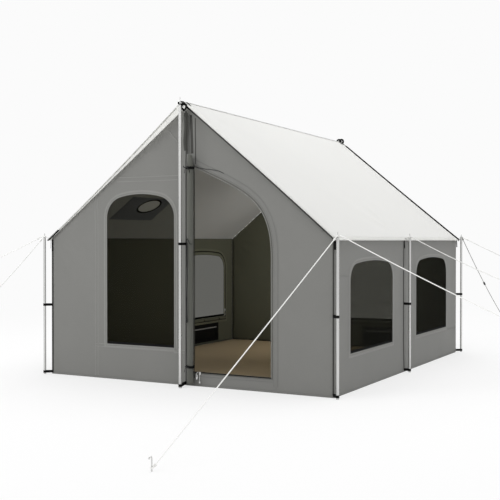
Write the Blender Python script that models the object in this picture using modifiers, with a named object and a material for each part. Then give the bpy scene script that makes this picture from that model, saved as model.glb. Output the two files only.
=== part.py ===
"""Canvas wall tent with external poles: four walls, a two-slope roof and a ground sheet, hung
from a ridge pole on two tall uprights and from six eave poles, and stayed by guy ropes.
Metres, +Z up, +Y from the front wall to the rear wall, origin on the ground at the middle."""

import math

import bmesh
import bpy
from mathutils import Matrix, Vector

# The pitched tent
TENT_WIDTH = 3.05
TENT_LENGTH = 3.66
EAVE_HEIGHT = 1.35
RIDGE_HEIGHT = 2.575
PEAK_SHIFT = 0.09
EAVE_OVERHANG = 0.030
CORNER_OVERHANG = 0.030
RIDGE_OVERHANG = 0.140

# Cloth, tape and the gap that touching pieces keep
CANVAS = 0.003
GROUND_SHEET = 0.003
SCREEN = 0.0015
TAPE = 0.0015
WEBBING = 0.0025
GAP = 0.0003
NEAR_NOTHING = 0.0001

# Windows: width, sill and top, the shoulder's radius and how far the top edge bows up
SIDE_WINDOW_WIDTH = 1.09
SIDE_WINDOW_DROP = 0.205
GABLE_WINDOW_WIDTH = 0.767
GABLE_WINDOW_TOP = 1.765
WINDOW_SILL = 0.335
GABLE_SHOULDER = 0.20
SIDE_SHOULDER = 0.16
WINDOW_CROWN = 0.022
SHOULDER_STEPS = 6
CROWN_STEPS = 4
FRONT_WINDOW_X = -0.46
REAR_WINDOW_X = 0.46
RIGHT_FRONT_WINDOW_Y = -0.935
RIGHT_REAR_WINDOW_Y = 0.88
LEFT_REAR_WINDOW_Y = 1.05

# The slider that closes each window's inner cover, and the rolled cover itself
ZIP_OFFSET = 0.02
SLIDER_LENGTH = 0.026
SLIDER_WIDTH = 0.014
SLIDER_DEPTH = 0.007
PULL_RADIUS = 0.0022
WINDOW_PULL_LENGTH = 0.045
COVER_ROLL_RADIUS = 0.017
COVER_ROLL_DROP = 0.024
COVER_TIE_SHARE = 0.84
COVER_STATIONS = 13
SLIDER_SINK = 0.002

# Low vents under the left and the rear window
VENT_SILL = 0.075
VENT_HEIGHT = 0.17
LEFT_VENT_WIDTH = 0.70
LEFT_VENT_Y = 1.05
REAR_VENT_WIDTH = 0.45
REAR_VENT_X = 0.615

# D-shaped door: straight hinge edge on the left, its zip along the sill, right jamb and arch
DOOR_LEFT = 0.13
DOOR_RIGHT = 0.928
DOOR_SILL = 0.13
DOOR_SHOULDER = 1.176
DOOR_TOP = 2.00
DOOR_JAMB_HANDLE = 0.533
DOOR_ARCH_HANDLE_X = 0.513
DOOR_ARCH_HANDLE_Z = 0.24
DOOR_ARCH_STEPS = 16
DOOR_ZIP_MARGIN = 0.004
DOOR_ZIP_WIDTH = 0.012
DOOR_SLIDER_X = 0.205
DOOR_PULL_LENGTH = 0.075
PULL_TAB_WIDTH = 0.012
PULL_TAB_LENGTH = 0.018
PULL_TAB_DEPTH = 0.004

# The door rolled up beside its hinge edge, drawn in at the ties
DOOR_ROLL_X = 0.125
DOOR_ROLL_RADIUS = 0.042
DOOR_ROLL_PRESS = 0.003
DOOR_ROLL_BOTTOM = 0.03
DOOR_ROLL_RISE = 0.10
DOOR_ROLL_TOP = DOOR_TOP + DOOR_ROLL_RISE
DOOR_ROLL_STATIONS = 25
DOOR_ROLL_POINTS = 22
DOOR_ROLL_STEP = 0.004
DOOR_ROLL_FOLD = 0.0016
DOOR_EDGE_ANGLE = math.radians(250)
DOOR_TIE_LOW = 0.18
DOOR_TIE_DROP = 0.015
DOOR_TIE_HEIGHTS = (DOOR_TIE_LOW, DOOR_TOP - DOOR_TIE_DROP)
DOOR_TIE_RADIUS = 0.036
DOOR_TIE_REACH = 0.16
DOOR_TIE_HEIGHT = 0.014
DOOR_TOGGLE_ANGLE = math.radians(235)
TOGGLE_RADIUS = 0.006
TOGGLE_LENGTH = 0.04

# Stove-pipe opening in the left slope, its place up the slope as a share
JACK_Y = -0.821
JACK_SHARE = 0.292
JACK_PANEL_Y = -0.88
JACK_PANEL_SHARE = 0.265
JACK_LENGTH = 0.78
JACK_HEIGHT_SHARE = 0.19
JACK_HOLE_LENGTH = 0.35
JACK_HOLE_HEIGHT = 0.19
JACK_SHEET = 0.002
JACK_CUT = 0.03
JACK_FLAP_LENGTH = 0.50
JACK_FLAP_SHARE = 0.15
OVAL_POINTS = 28
ROOF_STEPS = (24, 8)
PATCH_STEPS = (3, 2)

# Poles: tube, wall and the spike on the top
EAVE_POLE_RADIUS = 0.0127
UPRIGHT_RADIUS = 0.0145
RIDGE_POLE_RADIUS = 0.0145
EAVE_POLE_RISE = 0.002
POLE_WALL = 0.0018
POLE_CHAMFER = 0.002
SPIKE_RADIUS = 0.004
EAVE_SPIKE = 0.046
UPRIGHT_SPIKE = 0.075
SPIKE_PLUG = 0.03
SWAGE_DEPTH = 0.0007
SWAGE_LENGTH = 0.012
SWAGE_SHARE = 0.52
POLE_SIDES = 16
CORNER_POLE_OFFSET = 0.05
SIDE_POLE_OFFSET = 0.060
SIDE_POLE_Y = -0.05
UPRIGHT_OFFSET = 0.165
RIDGE_POLE_OVERRUN = 0.022
SPIKE_CLEARANCE = 0.0006
NOTCH_CLEARANCE = 0.0008
NOTCH_POINTS = 9

# Webbing: a strap down the wall beside each pole, and the bands that tie the pole to it
WALL_STRAP_WIDTH = 0.02
WALL_STRAP_LOW = 0.01
WALL_STRAP_MARGIN = 0.03
FRONT_STRAP_X = 0.058
TIE_HEIGHT = 0.024
TIE_CLEARANCE = 0.0003
TIE_HALF_WIDTH = 0.0025
FOOT_TIE_LOW = 0.012
WAIST_TIE_SHARE = 0.51
TOP_RING_WIDTH = 0.007
TOP_TAIL_HALF_WIDTH = 0.009
TOP_TAIL_OUT = 0.0165
TOP_TAIL_IN = 0.026
TOP_TAIL_DROP = 0.034
BINDING_WIDTH = 0.012
BINDING_DEPTH = 0.006
PEAK_BINDING_SHARE = 0.11
RING_POINTS = 16

# Guy ropes, the tensioner on one of them and the stake that holds the front one
ROPE_DIAMETER = 0.008
ROPE_EYE_RADIUS = 0.012
ROPE_EYE_REACH = 0.025
ROPE_LOOP_RADIUS = 0.03
ROPE_POINTS = 8
ROPE_TURN_POINTS = 13
ROPE_EYE_OPENING = math.radians(50)
STAKED_ROPE = "guy_rope_front_right_ahead"
TENSIONER_RADIUS = 0.012
TENSIONER_LENGTH = 0.055
TENSIONER_CLEARANCE = 0.0006
TENSIONER_GROOVE = 0.002
STAKE_DIAMETER = 0.009
STAKE_HEIGHT = 0.075
STAKE_HOOK = 0.014

FRONT = -TENT_LENGTH / 2
REAR = TENT_LENGTH / 2
LEFT = -TENT_WIDTH / 2
RIGHT = TENT_WIDTH / 2
FRONT_UPRIGHT_Y = FRONT - UPRIGHT_OFFSET
REAR_UPRIGHT_Y = REAR + UPRIGHT_OFFSET
ROPE_RADIUS = ROPE_DIAMETER / 2
EAVE_POLE_HEIGHT = EAVE_HEIGHT + EAVE_POLE_RISE

# Each guy rope: the pole that it leaves, its place among the eyes on that pole's spike, a
# point on the way and its far end
GUY_ROUTES = {
    "guy_rope_front_right_ahead": ("front_right", 0, (1.575, -3.250, 0.683), (1.575, -4.590, 0.022)),
    "guy_rope_front_right_side": ("front_right", 1, (2.340, -1.880, 1.008), (3.080, -1.880, 0.675)),
    "guy_rope_middle_right": ("middle_right", 0, (2.120, -0.050, 1.109), (2.650, -0.050, 0.890)),
    "guy_rope_rear_right_side": ("rear_right", 0, (1.920, 1.880, 1.204), (2.250, 1.880, 1.050)),
    "guy_rope_rear_right_behind": ("rear_right", 1, (1.575, 2.980, 0.769), (1.575, 3.980, 0.280)),
    "guy_rope_front_left_side": ("front_left", 1, (-1.870, -1.940, 1.242), (-2.169, -2.000, 1.119)),
    "guy_rope_front_left_ahead": ("front_left", 0, (-1.500, -2.330, 1.086), (-1.4375, -2.705, 0.864)),
}


def make_collection(name):
    collection = bpy.data.collections.new(name)
    bpy.context.scene.collection.children.link(collection)
    return collection


def make_material(name, colour, roughness, metallic=0.0):
    material = bpy.data.materials.new(name)
    material.use_nodes = True
    shader = material.node_tree.nodes["Principled BSDF"]
    shader.inputs["Base Color"].default_value = (*colour, 1.0)
    shader.inputs["Roughness"].default_value = roughness
    shader.inputs["Metallic"].default_value = metallic
    return material


def place_mesh(name, mesh, material, matrix=None, smooth_angle=None):
    mesh.name = name
    piece = bpy.data.objects.new(name, mesh)
    if matrix is not None:
        piece.matrix_world = matrix
    mesh.materials.clear()
    mesh.materials.append(material)
    if smooth_angle is not None:
        mesh.shade_smooth()
        mesh.set_sharp_from_angle(angle=smooth_angle)
    PARTS.objects.link(piece)
    return piece


def mesh_from(piece):
    """The evaluated mesh of a curve or of an object with modifiers, in world places."""
    graph = bpy.context.evaluated_depsgraph_get()
    bpy.context.view_layer.update()
    mesh = bpy.data.meshes.new_from_object(piece.evaluated_get(graph))
    mesh.transform(piece.matrix_world)
    return mesh


def as_mesh(piece, material):
    """A curve made into a mesh object with its caps welded, so that it can be cut or joined."""
    name = piece.name
    mesh = mesh_from(piece)
    bpy.data.objects.remove(piece)
    welded = bmesh.new()
    welded.from_mesh(mesh)
    bmesh.ops.remove_doubles(welded, verts=welded.verts, dist=NEAR_NOTHING / 10)
    welded.to_mesh(mesh)
    welded.free()
    return place_mesh(name, mesh, material)


def plate(name, loops, thickness, frame, material):
    """A flat piece cut to an outline, the further loops being its openings, centred on frame."""
    curve = bpy.data.curves.new(name, "CURVE")
    curve.dimensions = "2D"
    curve.fill_mode = "BOTH"
    curve.extrude = thickness / 2
    for loop in loops:
        spline = curve.splines.new("POLY")
        spline.points.add(len(loop) - 1)
        for point, (u, v) in zip(spline.points, loop):
            point.co = (u, v, 0, 1)
        spline.use_cyclic_u = True
    piece = bpy.data.objects.new(name, curve)
    piece.matrix_world = frame
    curve.materials.append(material)
    PARTS.objects.link(piece)
    return piece


def tube(name, points, radius, material, radii=None):
    """A round bar along a line, its caps closed; radii scale it at each point."""
    curve = bpy.data.curves.new(name, "CURVE")
    curve.dimensions = "3D"
    curve.bevel_depth = radius
    curve.bevel_resolution = 2
    curve.use_fill_caps = True
    spline = curve.splines.new("POLY")
    spline.points.add(len(points) - 1)
    for index, place in enumerate(points):
        spline.points[index].co = (*place, 1)
        spline.points[index].radius = radii[index] if radii else 1
    piece = bpy.data.objects.new(name, curve)
    curve.materials.append(material)
    PARTS.objects.link(piece)
    return piece


def turned(name, profile, frame, material, sides=POLE_SIDES):
    """A profile of (radius, height) points, from the top down its outer side, turned about Z."""
    mesh = bpy.data.meshes.new(name)
    drawn = bmesh.new()
    corners = [drawn.verts.new((radius, 0, height)) for radius, height in profile]
    for start, end in zip(corners, corners[1:]):
        drawn.edges.new((start, end))
    if profile[0][0] > 0:
        drawn.edges.new((corners[-1], corners[0]))
    drawn.to_mesh(mesh)
    drawn.free()
    piece = place_mesh(name, mesh, material, frame)
    screw = piece.modifiers.new("turn", "SCREW")
    screw.axis = "Z"
    screw.steps = sides
    screw.render_steps = sides
    screw.use_merge_vertices = True
    screw.merge_threshold = NEAR_NOTHING
    screw.use_smooth_shade = True
    return piece


def block(name, low, high, material):
    """A box between two corners."""
    low = Vector(low)
    high = Vector(high)
    drawn = bmesh.new()
    bmesh.ops.create_cube(drawn, size=1)
    size = high - low
    for corner in drawn.verts:
        corner.co = Vector(a * b for a, b in zip(corner.co, size)) + (low + high) / 2
    mesh = bpy.data.meshes.new(name)
    drawn.to_mesh(mesh)
    drawn.free()
    return place_mesh(name, mesh, material)


def rod(name, start, end, radius, material, sides=POLE_SIDES):
    """A plain round bar between two points."""
    start = Vector(start)
    end = Vector(end)
    turn = (end - start).to_track_quat("Z", "Y").to_matrix().to_4x4()
    drawn = bmesh.new()
    bmesh.ops.create_cone(
        drawn, cap_ends=True, segments=sides, radius1=radius, radius2=radius, depth=(end - start).length
    )
    mesh = bpy.data.meshes.new(name)
    drawn.to_mesh(mesh)
    drawn.free()
    mesh.transform(Matrix.Translation((start + end) / 2) @ turn)
    return place_mesh(name, mesh, material)


def combine(piece, other, operation):
    """Joins the other piece on, or takes it out; the other stays as a hidden guide."""
    other.hide_render = True
    other.display_type = "WIRE"
    PARTS.objects.unlink(other)
    CUTTERS.objects.link(other)
    change = piece.modifiers.new(other.name, "BOOLEAN")
    change.operation = operation
    change.solver = "EXACT"
    change.object = other


def sewn(name, pieces, material):
    """One piece out of several that overlap where they are sewn or soldered together."""
    base = as_mesh(pieces[0], material)
    base.name = name
    for piece in pieces[1:]:
        combine(base, as_mesh(piece, material), "UNION")
    return base


def arc(centre, radius, start, end, count):
    """Points along an arc, its end included."""
    points = []
    for index in range(count + 1):
        angle = start + (end - start) * index / count
        points.append((centre[0] + radius * math.cos(angle), centre[1] + radius * math.sin(angle)))
    return points


def grown(loop, distance):
    """A counter-clockwise outline moved outwards by a distance, with mitred corners."""
    moved = []
    for index, corner in enumerate(loop):
        before = Vector(loop[index - 1])
        here = Vector(corner)
        after = Vector(loop[(index + 1) % len(loop)])
        along_in = (here - before).normalized()
        along_out = (after - here).normalized()
        out_in = Vector((along_in.y, -along_in.x))
        out_out = Vector((along_out.y, -along_out.x))
        middle = (out_in + out_out).normalized()
        moved.append(tuple(here + middle * distance / max(middle.dot(out_in), 0.5)))
    return moved


def window_loop(centre, width, sill, top, radius):
    """A window's outline: square sill corners, round shoulders and a top edge bowed up to meet them."""
    reach = width / 2 - radius
    spring = top - WINDOW_CROWN - radius
    rise = radius + WINDOW_CROWN
    bow = (reach * reach + rise * rise - radius * radius) / (2 * WINDOW_CROWN)
    lean = math.atan2(reach, spring - top + bow)
    upright = math.pi / 2
    loop = [(centre - width / 2, sill), (centre + width / 2, sill)]
    loop += arc((centre + reach, spring), radius, 0, upright - lean, SHOULDER_STEPS)
    loop += arc((centre, top - bow), bow, upright - lean, upright + lean, CROWN_STEPS)[1:-1]
    loop += arc((centre - reach, spring), radius, upright + lean, math.pi, SHOULDER_STEPS)
    return loop


def door_loop():
    """The door opening: a straight hinge edge, a level sill, a jamb and one long arch."""
    start = Vector((DOOR_RIGHT, DOOR_SHOULDER))
    lift = start + Vector((0, DOOR_JAMB_HANDLE))
    end = Vector((DOOR_LEFT, DOOR_TOP))
    lean = end + Vector((DOOR_ARCH_HANDLE_X, -DOOR_ARCH_HANDLE_Z))
    loop = [(DOOR_LEFT, DOOR_SILL), (DOOR_RIGHT, DOOR_SILL)]
    for index in range(DOOR_ARCH_STEPS + 1):
        t = index / DOOR_ARCH_STEPS
        s = 1 - t
        place = start * s**3 + lift * 3 * s * s * t + lean * 3 * s * t * t + end * t**3
        loop.append(tuple(place))
    return loop


def round_hole(centre, radius):
    """A many-sided hole whose flats, and not its corners, lie at the radius."""
    return arc(centre, radius / math.cos(math.pi / RING_POINTS), 0, math.tau, RING_POINTS)[:-1]


def rectangle(low_u, low_v, high_u, high_v):
    return [(low_u, low_v), (high_u, low_v), (high_u, high_v), (low_u, high_v)]


def oval(centre, length, height):
    """An oval outline with its long axis along the first axis."""
    loop = []
    for index in range(OVAL_POINTS):
        angle = math.tau * index / OVAL_POINTS
        loop.append((centre[0] + length / 2 * math.cos(angle), centre[1] + height / 2 * math.sin(angle)))
    return loop


def gable_frame(y):
    """A plane across the tent: first axis +X, second axis +Z."""
    return Matrix.Translation((0, y, 0)) @ Matrix.Rotation(math.pi / 2, 4, "X")


def side_frame(x):
    """A plane along the tent: first axis +Y, second axis +Z."""
    turn = Matrix.Rotation(math.pi / 2, 4, "Z") @ Matrix.Rotation(math.pi / 2, 4, "X")
    return Matrix.Translation((x, 0, 0)) @ turn


def level_frame(x, y, z, turn=0.0):
    return Matrix.Translation((x, y, z)) @ Matrix.Rotation(turn, 4, "Z")


def ridge_x(y):
    """The ridge pole runs from a front peak right of the middle to a rear peak on it."""
    return PEAK_SHIFT * (REAR - y) / TENT_LENGTH


def roof_point(side, y, share):
    """A point of the roof's underside: share 0 on the wall's top, 1 on the ridge line."""
    eave = Vector((side * TENT_WIDTH / 2, y, EAVE_HEIGHT + GAP))
    return eave.lerp(Vector((ridge_x(y), y, RIDGE_HEIGHT)), share)


def slope_normal(side, y):
    """The outward normal of the roof at the middle of one side."""
    rise = roof_point(side, y, 1) - roof_point(side, y, 0)
    along = roof_point(side, REAR, 1 / 2) - roof_point(side, FRONT, 1 / 2)
    normal = along.cross(rise) if side < 0 else rise.cross(along)
    return normal.normalized() * math.copysign(1, normal.z)


def slope_length(side):
    return (roof_point(side, 0, 1) - roof_point(side, 0, 0)).length


def ridge_axis_height():
    """The ridge pole touches the steeper slope from below."""
    rise = RIDGE_HEIGHT - EAVE_HEIGHT
    steepness = rise / (TENT_WIDTH / 2 - ridge_x(FRONT_UPRIGHT_Y))
    return RIDGE_HEIGHT - (RIDGE_POLE_RADIUS + GAP) * math.hypot(1, steepness)


def eave_share():
    """How far the roof runs down past the wall's top, as a share of the slope."""
    return -EAVE_OVERHANG / (TENT_WIDTH / 2)


def roof_patch(name, side, place, height, thickness, material, steps):
    """A sheet over one slope, a height above its underside; place gives its (y, share)."""
    drawn = bmesh.new()
    bmesh.ops.create_grid(drawn, x_segments=steps[0], y_segments=steps[1], size=1 / 2)
    for corner in drawn.verts:
        y, share = place(corner.co.x + 1 / 2, corner.co.y + 1 / 2)
        corner.co = roof_point(side, y, share) + slope_normal(side, y) * height
    if side < 0:
        bmesh.ops.reverse_faces(drawn, faces=drawn.faces)
    mesh = bpy.data.meshes.new(name)
    drawn.to_mesh(mesh)
    drawn.free()
    piece = place_mesh(name, mesh, material)
    thicken = piece.modifiers.new("thickness", "SOLIDIFY")
    thicken.thickness = thickness
    thicken.offset = 1
    return piece


def gable_loop(y):
    """A gable wall, its top notched for the ridge pole that passes through."""
    notch = RIDGE_POLE_RADIUS + NOTCH_CLEARANCE
    middle = ridge_x(y)
    axis = ridge_axis_height()
    rise = RIDGE_HEIGHT - GAP - EAVE_HEIGHT
    right_top = EAVE_HEIGHT + rise * (RIGHT - middle - notch) / (RIGHT - middle)
    left_top = EAVE_HEIGHT + rise * (middle - notch - LEFT) / (middle - LEFT)
    loop = [(LEFT, 0), (RIGHT, 0), (RIGHT, EAVE_HEIGHT), (middle + notch, right_top)]
    loop += arc((middle, axis), notch, 0, -math.pi, NOTCH_POINTS)
    loop += [(middle - notch, left_top), (LEFT, EAVE_HEIGHT)]
    return loop


def band_loops(centre, hole, thickness, target, along, half_width):
    """A band round a pole, with a tail whose end lies along the strap that it reaches."""
    outer = hole + thickness
    centre = Vector(centre)
    target = Vector(target)
    reach = (target - centre).normalized()
    along = Vector(along)
    if along.dot(Vector((-reach.y, reach.x))) < 0:
        along = -along
    heading = math.atan2(reach.y, reach.x)
    opening = math.asin(min(half_width / outer, 1 / 2))
    outline = [tuple(target - along * half_width), tuple(target + along * half_width)]
    outline += arc(centre, outer, heading + opening, heading + math.tau - opening, RING_POINTS)
    return [outline, round_hole(centre, hole)]


def pole_table():
    """Each pole: its place, the middle of its wall strap, the wall's direction, radius and height."""
    inset = WALL_STRAP_WIDTH / 2
    into = GAP + WEBBING / 2
    table = {}
    for side_name, side in (("left", -1), ("right", 1)):
        x = side * (TENT_WIDTH / 2 + CORNER_POLE_OFFSET)
        strap_x = side * (TENT_WIDTH / 2 - inset)
        for end_name, end in (("front", -1), ("rear", 1)):
            y = end * (TENT_LENGTH / 2 + CORNER_POLE_OFFSET)
            strap_y = end * (TENT_LENGTH / 2 + into)
            table[f"{end_name}_{side_name}"] = (
                (x, y), (strap_x, strap_y), (1, 0), EAVE_POLE_RADIUS, EAVE_POLE_HEIGHT
            )
        x = side * (TENT_WIDTH / 2 + SIDE_POLE_OFFSET)
        strap_x = side * (TENT_WIDTH / 2 + into)
        table[f"middle_{side_name}"] = (
            (x, SIDE_POLE_Y), (strap_x, SIDE_POLE_Y), (0, 1), EAVE_POLE_RADIUS, EAVE_POLE_HEIGHT
        )
    for end_name, end, y, strap_x in (
        ("front", -1, FRONT_UPRIGHT_Y, FRONT_STRAP_X),
        ("rear", 1, REAR_UPRIGHT_Y, ridge_x(REAR)),
    ):
        strap_y = end * (TENT_LENGTH / 2 + into)
        table[f"{end_name}_upright"] = (
            (ridge_x(y), y), (strap_x, strap_y), (1, 0), UPRIGHT_RADIUS, upright_height()
        )
    return table


def upright_height():
    return ridge_axis_height() - RIDGE_POLE_RADIUS - GAP


def build_ground_sheet():
    inset = CANVAS + GAP
    loop = rectangle(LEFT + inset, FRONT + inset, RIGHT - inset, REAR - inset)
    plate("floor_sheet", [loop], GROUND_SHEET, level_frame(0, 0, GROUND_SHEET / 2), FLOOR)


def build_walls():
    rear_vent = vent_loop(REAR_VENT_X, REAR_VENT_WIDTH)
    left_vent = vent_loop(LEFT_VENT_Y, LEFT_VENT_WIDTH)
    front = [gable_loop(FRONT), window_opening("front"), door_loop()]
    plate("wall_front", front, CANVAS, gable_frame(FRONT + CANVAS / 2), WALL)
    rear = [gable_loop(REAR), window_opening("rear"), rear_vent]
    plate("wall_rear", rear, CANVAS, gable_frame(REAR - CANVAS / 2), WALL)
    inset = CANVAS + GAP
    panel = rectangle(FRONT + inset, 0, REAR - inset, EAVE_HEIGHT)
    left = [panel, window_opening("left_rear"), left_vent]
    plate("wall_left", left, CANVAS, side_frame(LEFT + CANVAS / 2), WALL)
    right = [panel, window_opening("right_front"), window_opening("right_rear")]
    plate("wall_right", right, CANVAS, side_frame(RIGHT - CANVAS / 2), WALL)


def oval_cutter(name):
    """An oval bar that stands square on the left slope where the stove pipe passes."""
    middle = roof_point(-1, JACK_Y, JACK_SHARE)
    up = (roof_point(-1, JACK_Y, 1) - middle).normalized()
    along = Vector((0, 1, 0))
    along = (along - up * along.dot(up)).normalized()
    turn = Matrix((along, up, along.cross(up))).transposed().to_4x4()
    frame = Matrix.Translation(middle) @ turn
    loop = oval((0, 0), JACK_HOLE_LENGTH, JACK_HOLE_HEIGHT)
    return as_mesh(plate(name, [loop], JACK_CUT, frame, ROOF), ROOF)


def roof_end(share):
    """How far the roof stands out past the gable wall: little at the eave, most at the peak."""
    return CORNER_OVERHANG + (RIDGE_OVERHANG - CORNER_OVERHANG) * max(share, 0) ** 2


def build_roof():
    low = eave_share()
    for name, side in (("left", -1), ("right", 1)):
        high = 1 - GAP / slope_length(side)

        def place(along, up):
            share = low + (high - low) * up
            end = roof_end(share)
            return FRONT - end + (TENT_LENGTH + 2 * end) * along, share

        panel = roof_patch(f"roof_panel_{name}", side, place, 0, CANVAS, ROOF, ROOF_STEPS)
        if side < 0:
            combine(panel, oval_cutter("roof_pipe_hole"), "DIFFERENCE")


def window_table():
    """Each window: its centre along its wall, width, top and shoulder radius."""
    gable = (GABLE_WINDOW_WIDTH, GABLE_WINDOW_TOP, GABLE_SHOULDER)
    side = (SIDE_WINDOW_WIDTH, EAVE_HEIGHT - SIDE_WINDOW_DROP, SIDE_SHOULDER)
    return {
        "front": (FRONT_WINDOW_X, *gable),
        "rear": (REAR_WINDOW_X, *gable),
        "left_rear": (LEFT_REAR_WINDOW_Y, *side),
        "right_front": (RIGHT_FRONT_WINDOW_Y, *side),
        "right_rear": (RIGHT_REAR_WINDOW_Y, *side),
    }


def window_opening(name):
    centre, width, top, radius = window_table()[name]
    return window_loop(centre, width, WINDOW_SILL, top, radius)


def wall_frame(name, depth):
    """The plane at a depth inside the outer face of the wall that holds a window or vent."""
    wall = name.split("_")[0]
    if wall == "front":
        return gable_frame(FRONT + depth)
    if wall == "rear":
        return gable_frame(REAR - depth)
    if wall == "left":
        return side_frame(LEFT + depth)
    return side_frame(RIGHT - depth)


def cover_roll(name, centre, width, frame):
    """The window's inner cover, rolled down to the sill and drawn in by three tapes."""
    points = []
    radii = []
    for index in range(COVER_STATIONS):
        share = index / (COVER_STATIONS - 1)
        points.append(frame @ Vector((centre + width * (share - 1 / 2), WINDOW_SILL - COVER_ROLL_DROP, 0)))
        tied = index in (2, COVER_STATIONS // 2, COVER_STATIONS - 3)
        radii.append(COVER_TIE_SHARE if tied else 1)
    return tube(name, points, COVER_ROLL_RADIUS, CANVAS_INSIDE, radii)


def pull_solids(name, frame, length):
    """A zip pull's cord with its tab; the frame's second axis is up and its third faces out."""
    start = frame @ Vector((0, 0, SLIDER_DEPTH / 2))
    end = frame @ Vector((0, -length, SLIDER_DEPTH / 2))
    cord = rod(name + "_cord", start, end, PULL_RADIUS, METAL, 8)
    low = SLIDER_SINK - length - PULL_TAB_LENGTH
    tab = rectangle(-PULL_TAB_WIDTH / 2, low, PULL_TAB_WIDTH / 2, low + PULL_TAB_LENGTH)
    lift = Matrix.Translation((0, 0, SLIDER_DEPTH / 2))
    return [cord, plate(name + "_tab", [tab], PULL_TAB_DEPTH, frame @ lift, METAL)]


def slider_body(name, frame):
    """A zip slider with cut corners, lying on the plane of the frame."""
    wide = SLIDER_WIDTH / 2
    high = SLIDER_LENGTH / 2
    c = POLE_CHAMFER
    outline = [
        (-wide + c, -high), (wide - c, -high), (wide, -high + c), (wide, high - c),
        (wide - c, high), (-wide + c, high), (-wide, high - c), (-wide, -high + c),
    ]
    lift = Matrix.Translation((0, 0, SLIDER_DEPTH / 2))
    return plate(name, [outline], SLIDER_DEPTH, frame @ lift, METAL)


def build_windows():
    for name, (centre, width, _, _) in window_table().items():
        screen = grown(window_opening(name), -GAP)
        plate(f"window_screen_{name}", [screen], SCREEN, wall_frame(name, CANVAS / 2), SCREEN_CLOTH)
        roll_depth = CANVAS + GAP + COVER_ROLL_RADIUS
        cover_roll(f"window_cover_{name}", centre, width, wall_frame(name, roll_depth))
        side = 1 if name in ("rear", "left_rear") else -1
        jamb = centre + side * (width / 2 + ZIP_OFFSET)
        height = WINDOW_SILL + SLIDER_LENGTH / 2 + WINDOW_PULL_LENGTH + PULL_TAB_LENGTH
        wall = wall_frame(name, CANVAS + GAP)
        frame = wall @ Matrix.Translation((jamb, height, 0))
        if wall.col[2].xyz.dot(inward_normal(name)) < 0:
            frame = frame @ Matrix.Rotation(math.pi, 4, "Y")
        low = frame @ Matrix.Translation((0, SLIDER_SINK - SLIDER_LENGTH / 2, 0))
        solids = [slider_body("slider", frame)] + pull_solids("pull", low, WINDOW_PULL_LENGTH)
        sewn(f"zip_slider_{name}", solids, METAL)


def inward_normal(name):
    wall = name.split("_")[0]
    return {
        "front": Vector((0, 1, 0)),
        "rear": Vector((0, -1, 0)),
        "left": Vector((1, 0, 0)),
        "right": Vector((-1, 0, 0)),
    }[wall]


def vent_loop(centre, width):
    return rectangle(centre - width / 2, VENT_SILL, centre + width / 2, VENT_SILL + VENT_HEIGHT)


def build_vents():
    """A screened slot low in the left and in the rear wall."""
    for name, centre, width in (
        ("left", LEFT_VENT_Y, LEFT_VENT_WIDTH),
        ("rear", REAR_VENT_X, REAR_VENT_WIDTH),
    ):
        screen = grown(vent_loop(centre, width), -GAP)
        plate(f"vent_screen_{name}", [screen], SCREEN, wall_frame(name, CANVAS / 2), SCREEN_CLOTH)


def door_roll_centre_y():
    return FRONT - GAP - TAPE - GAP - DOOR_ROLL_RADIUS + DOOR_ROLL_PRESS


def door_roll_radius(height, angle):
    """The rolled door: a spiral's last turn with its loose edge, soft folds, drawn in at each tie."""
    turn = (angle - DOOR_EDGE_ANGLE) % math.tau / math.tau
    folds = math.sin(5 * angle + 3 * height) + math.sin(8 * angle - 5 * height) / 2
    radius = DOOR_ROLL_RADIUS - DOOR_ROLL_STEP * (1 - turn) - DOOR_ROLL_FOLD * (1 + folds / 1.5)
    for tie in DOOR_TIE_HEIGHTS:
        near = math.exp(-(((height - tie) / DOOR_TIE_REACH) ** 2))
        held = DOOR_TIE_RADIUS - GAP
        radius += (held - radius) * near
    return min(radius, DOOR_ROLL_RADIUS)


def build_door_roll():
    """Rings of points up the roll, lofted into one closed solid."""
    drawn = bmesh.new()
    heights = []
    for index in range(DOOR_ROLL_STATIONS):
        share = index / (DOOR_ROLL_STATIONS - 1)
        heights.append(DOOR_ROLL_BOTTOM + (DOOR_ROLL_TOP - DOOR_ROLL_BOTTOM) * share)
    for tie in DOOR_TIE_HEIGHTS:
        heights.sort(key=lambda height: abs(height - tie))
        heights[0] = tie - DOOR_TIE_HEIGHT / 2
        heights.append(tie + DOOR_TIE_HEIGHT / 2)
    heights.sort()
    rings = []
    for height in heights:
        level = []
        for index in range(DOOR_ROLL_POINTS):
            angle = DOOR_EDGE_ANGLE + math.tau * index / DOOR_ROLL_POINTS
            radius = door_roll_radius(height, angle)
            back = min(radius * math.sin(angle), DOOR_ROLL_RADIUS - DOOR_ROLL_PRESS)
            level.append(drawn.verts.new((radius * math.cos(angle), back, height)))
        rings.append(level)
    for lower, upper in zip(rings, rings[1:]):
        for index in range(DOOR_ROLL_POINTS):
            after = (index + 1) % DOOR_ROLL_POINTS
            drawn.faces.new((lower[index], lower[after], upper[after], upper[index]))
    drawn.faces.new(reversed(rings[0]))
    drawn.faces.new(rings[-1])
    mesh = bpy.data.meshes.new("door_roll")
    drawn.to_mesh(mesh)
    drawn.free()
    frame = Matrix.Translation((DOOR_ROLL_X, door_roll_centre_y(), 0))
    place_mesh("door_roll", mesh, WALL, frame, math.radians(40))


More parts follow.
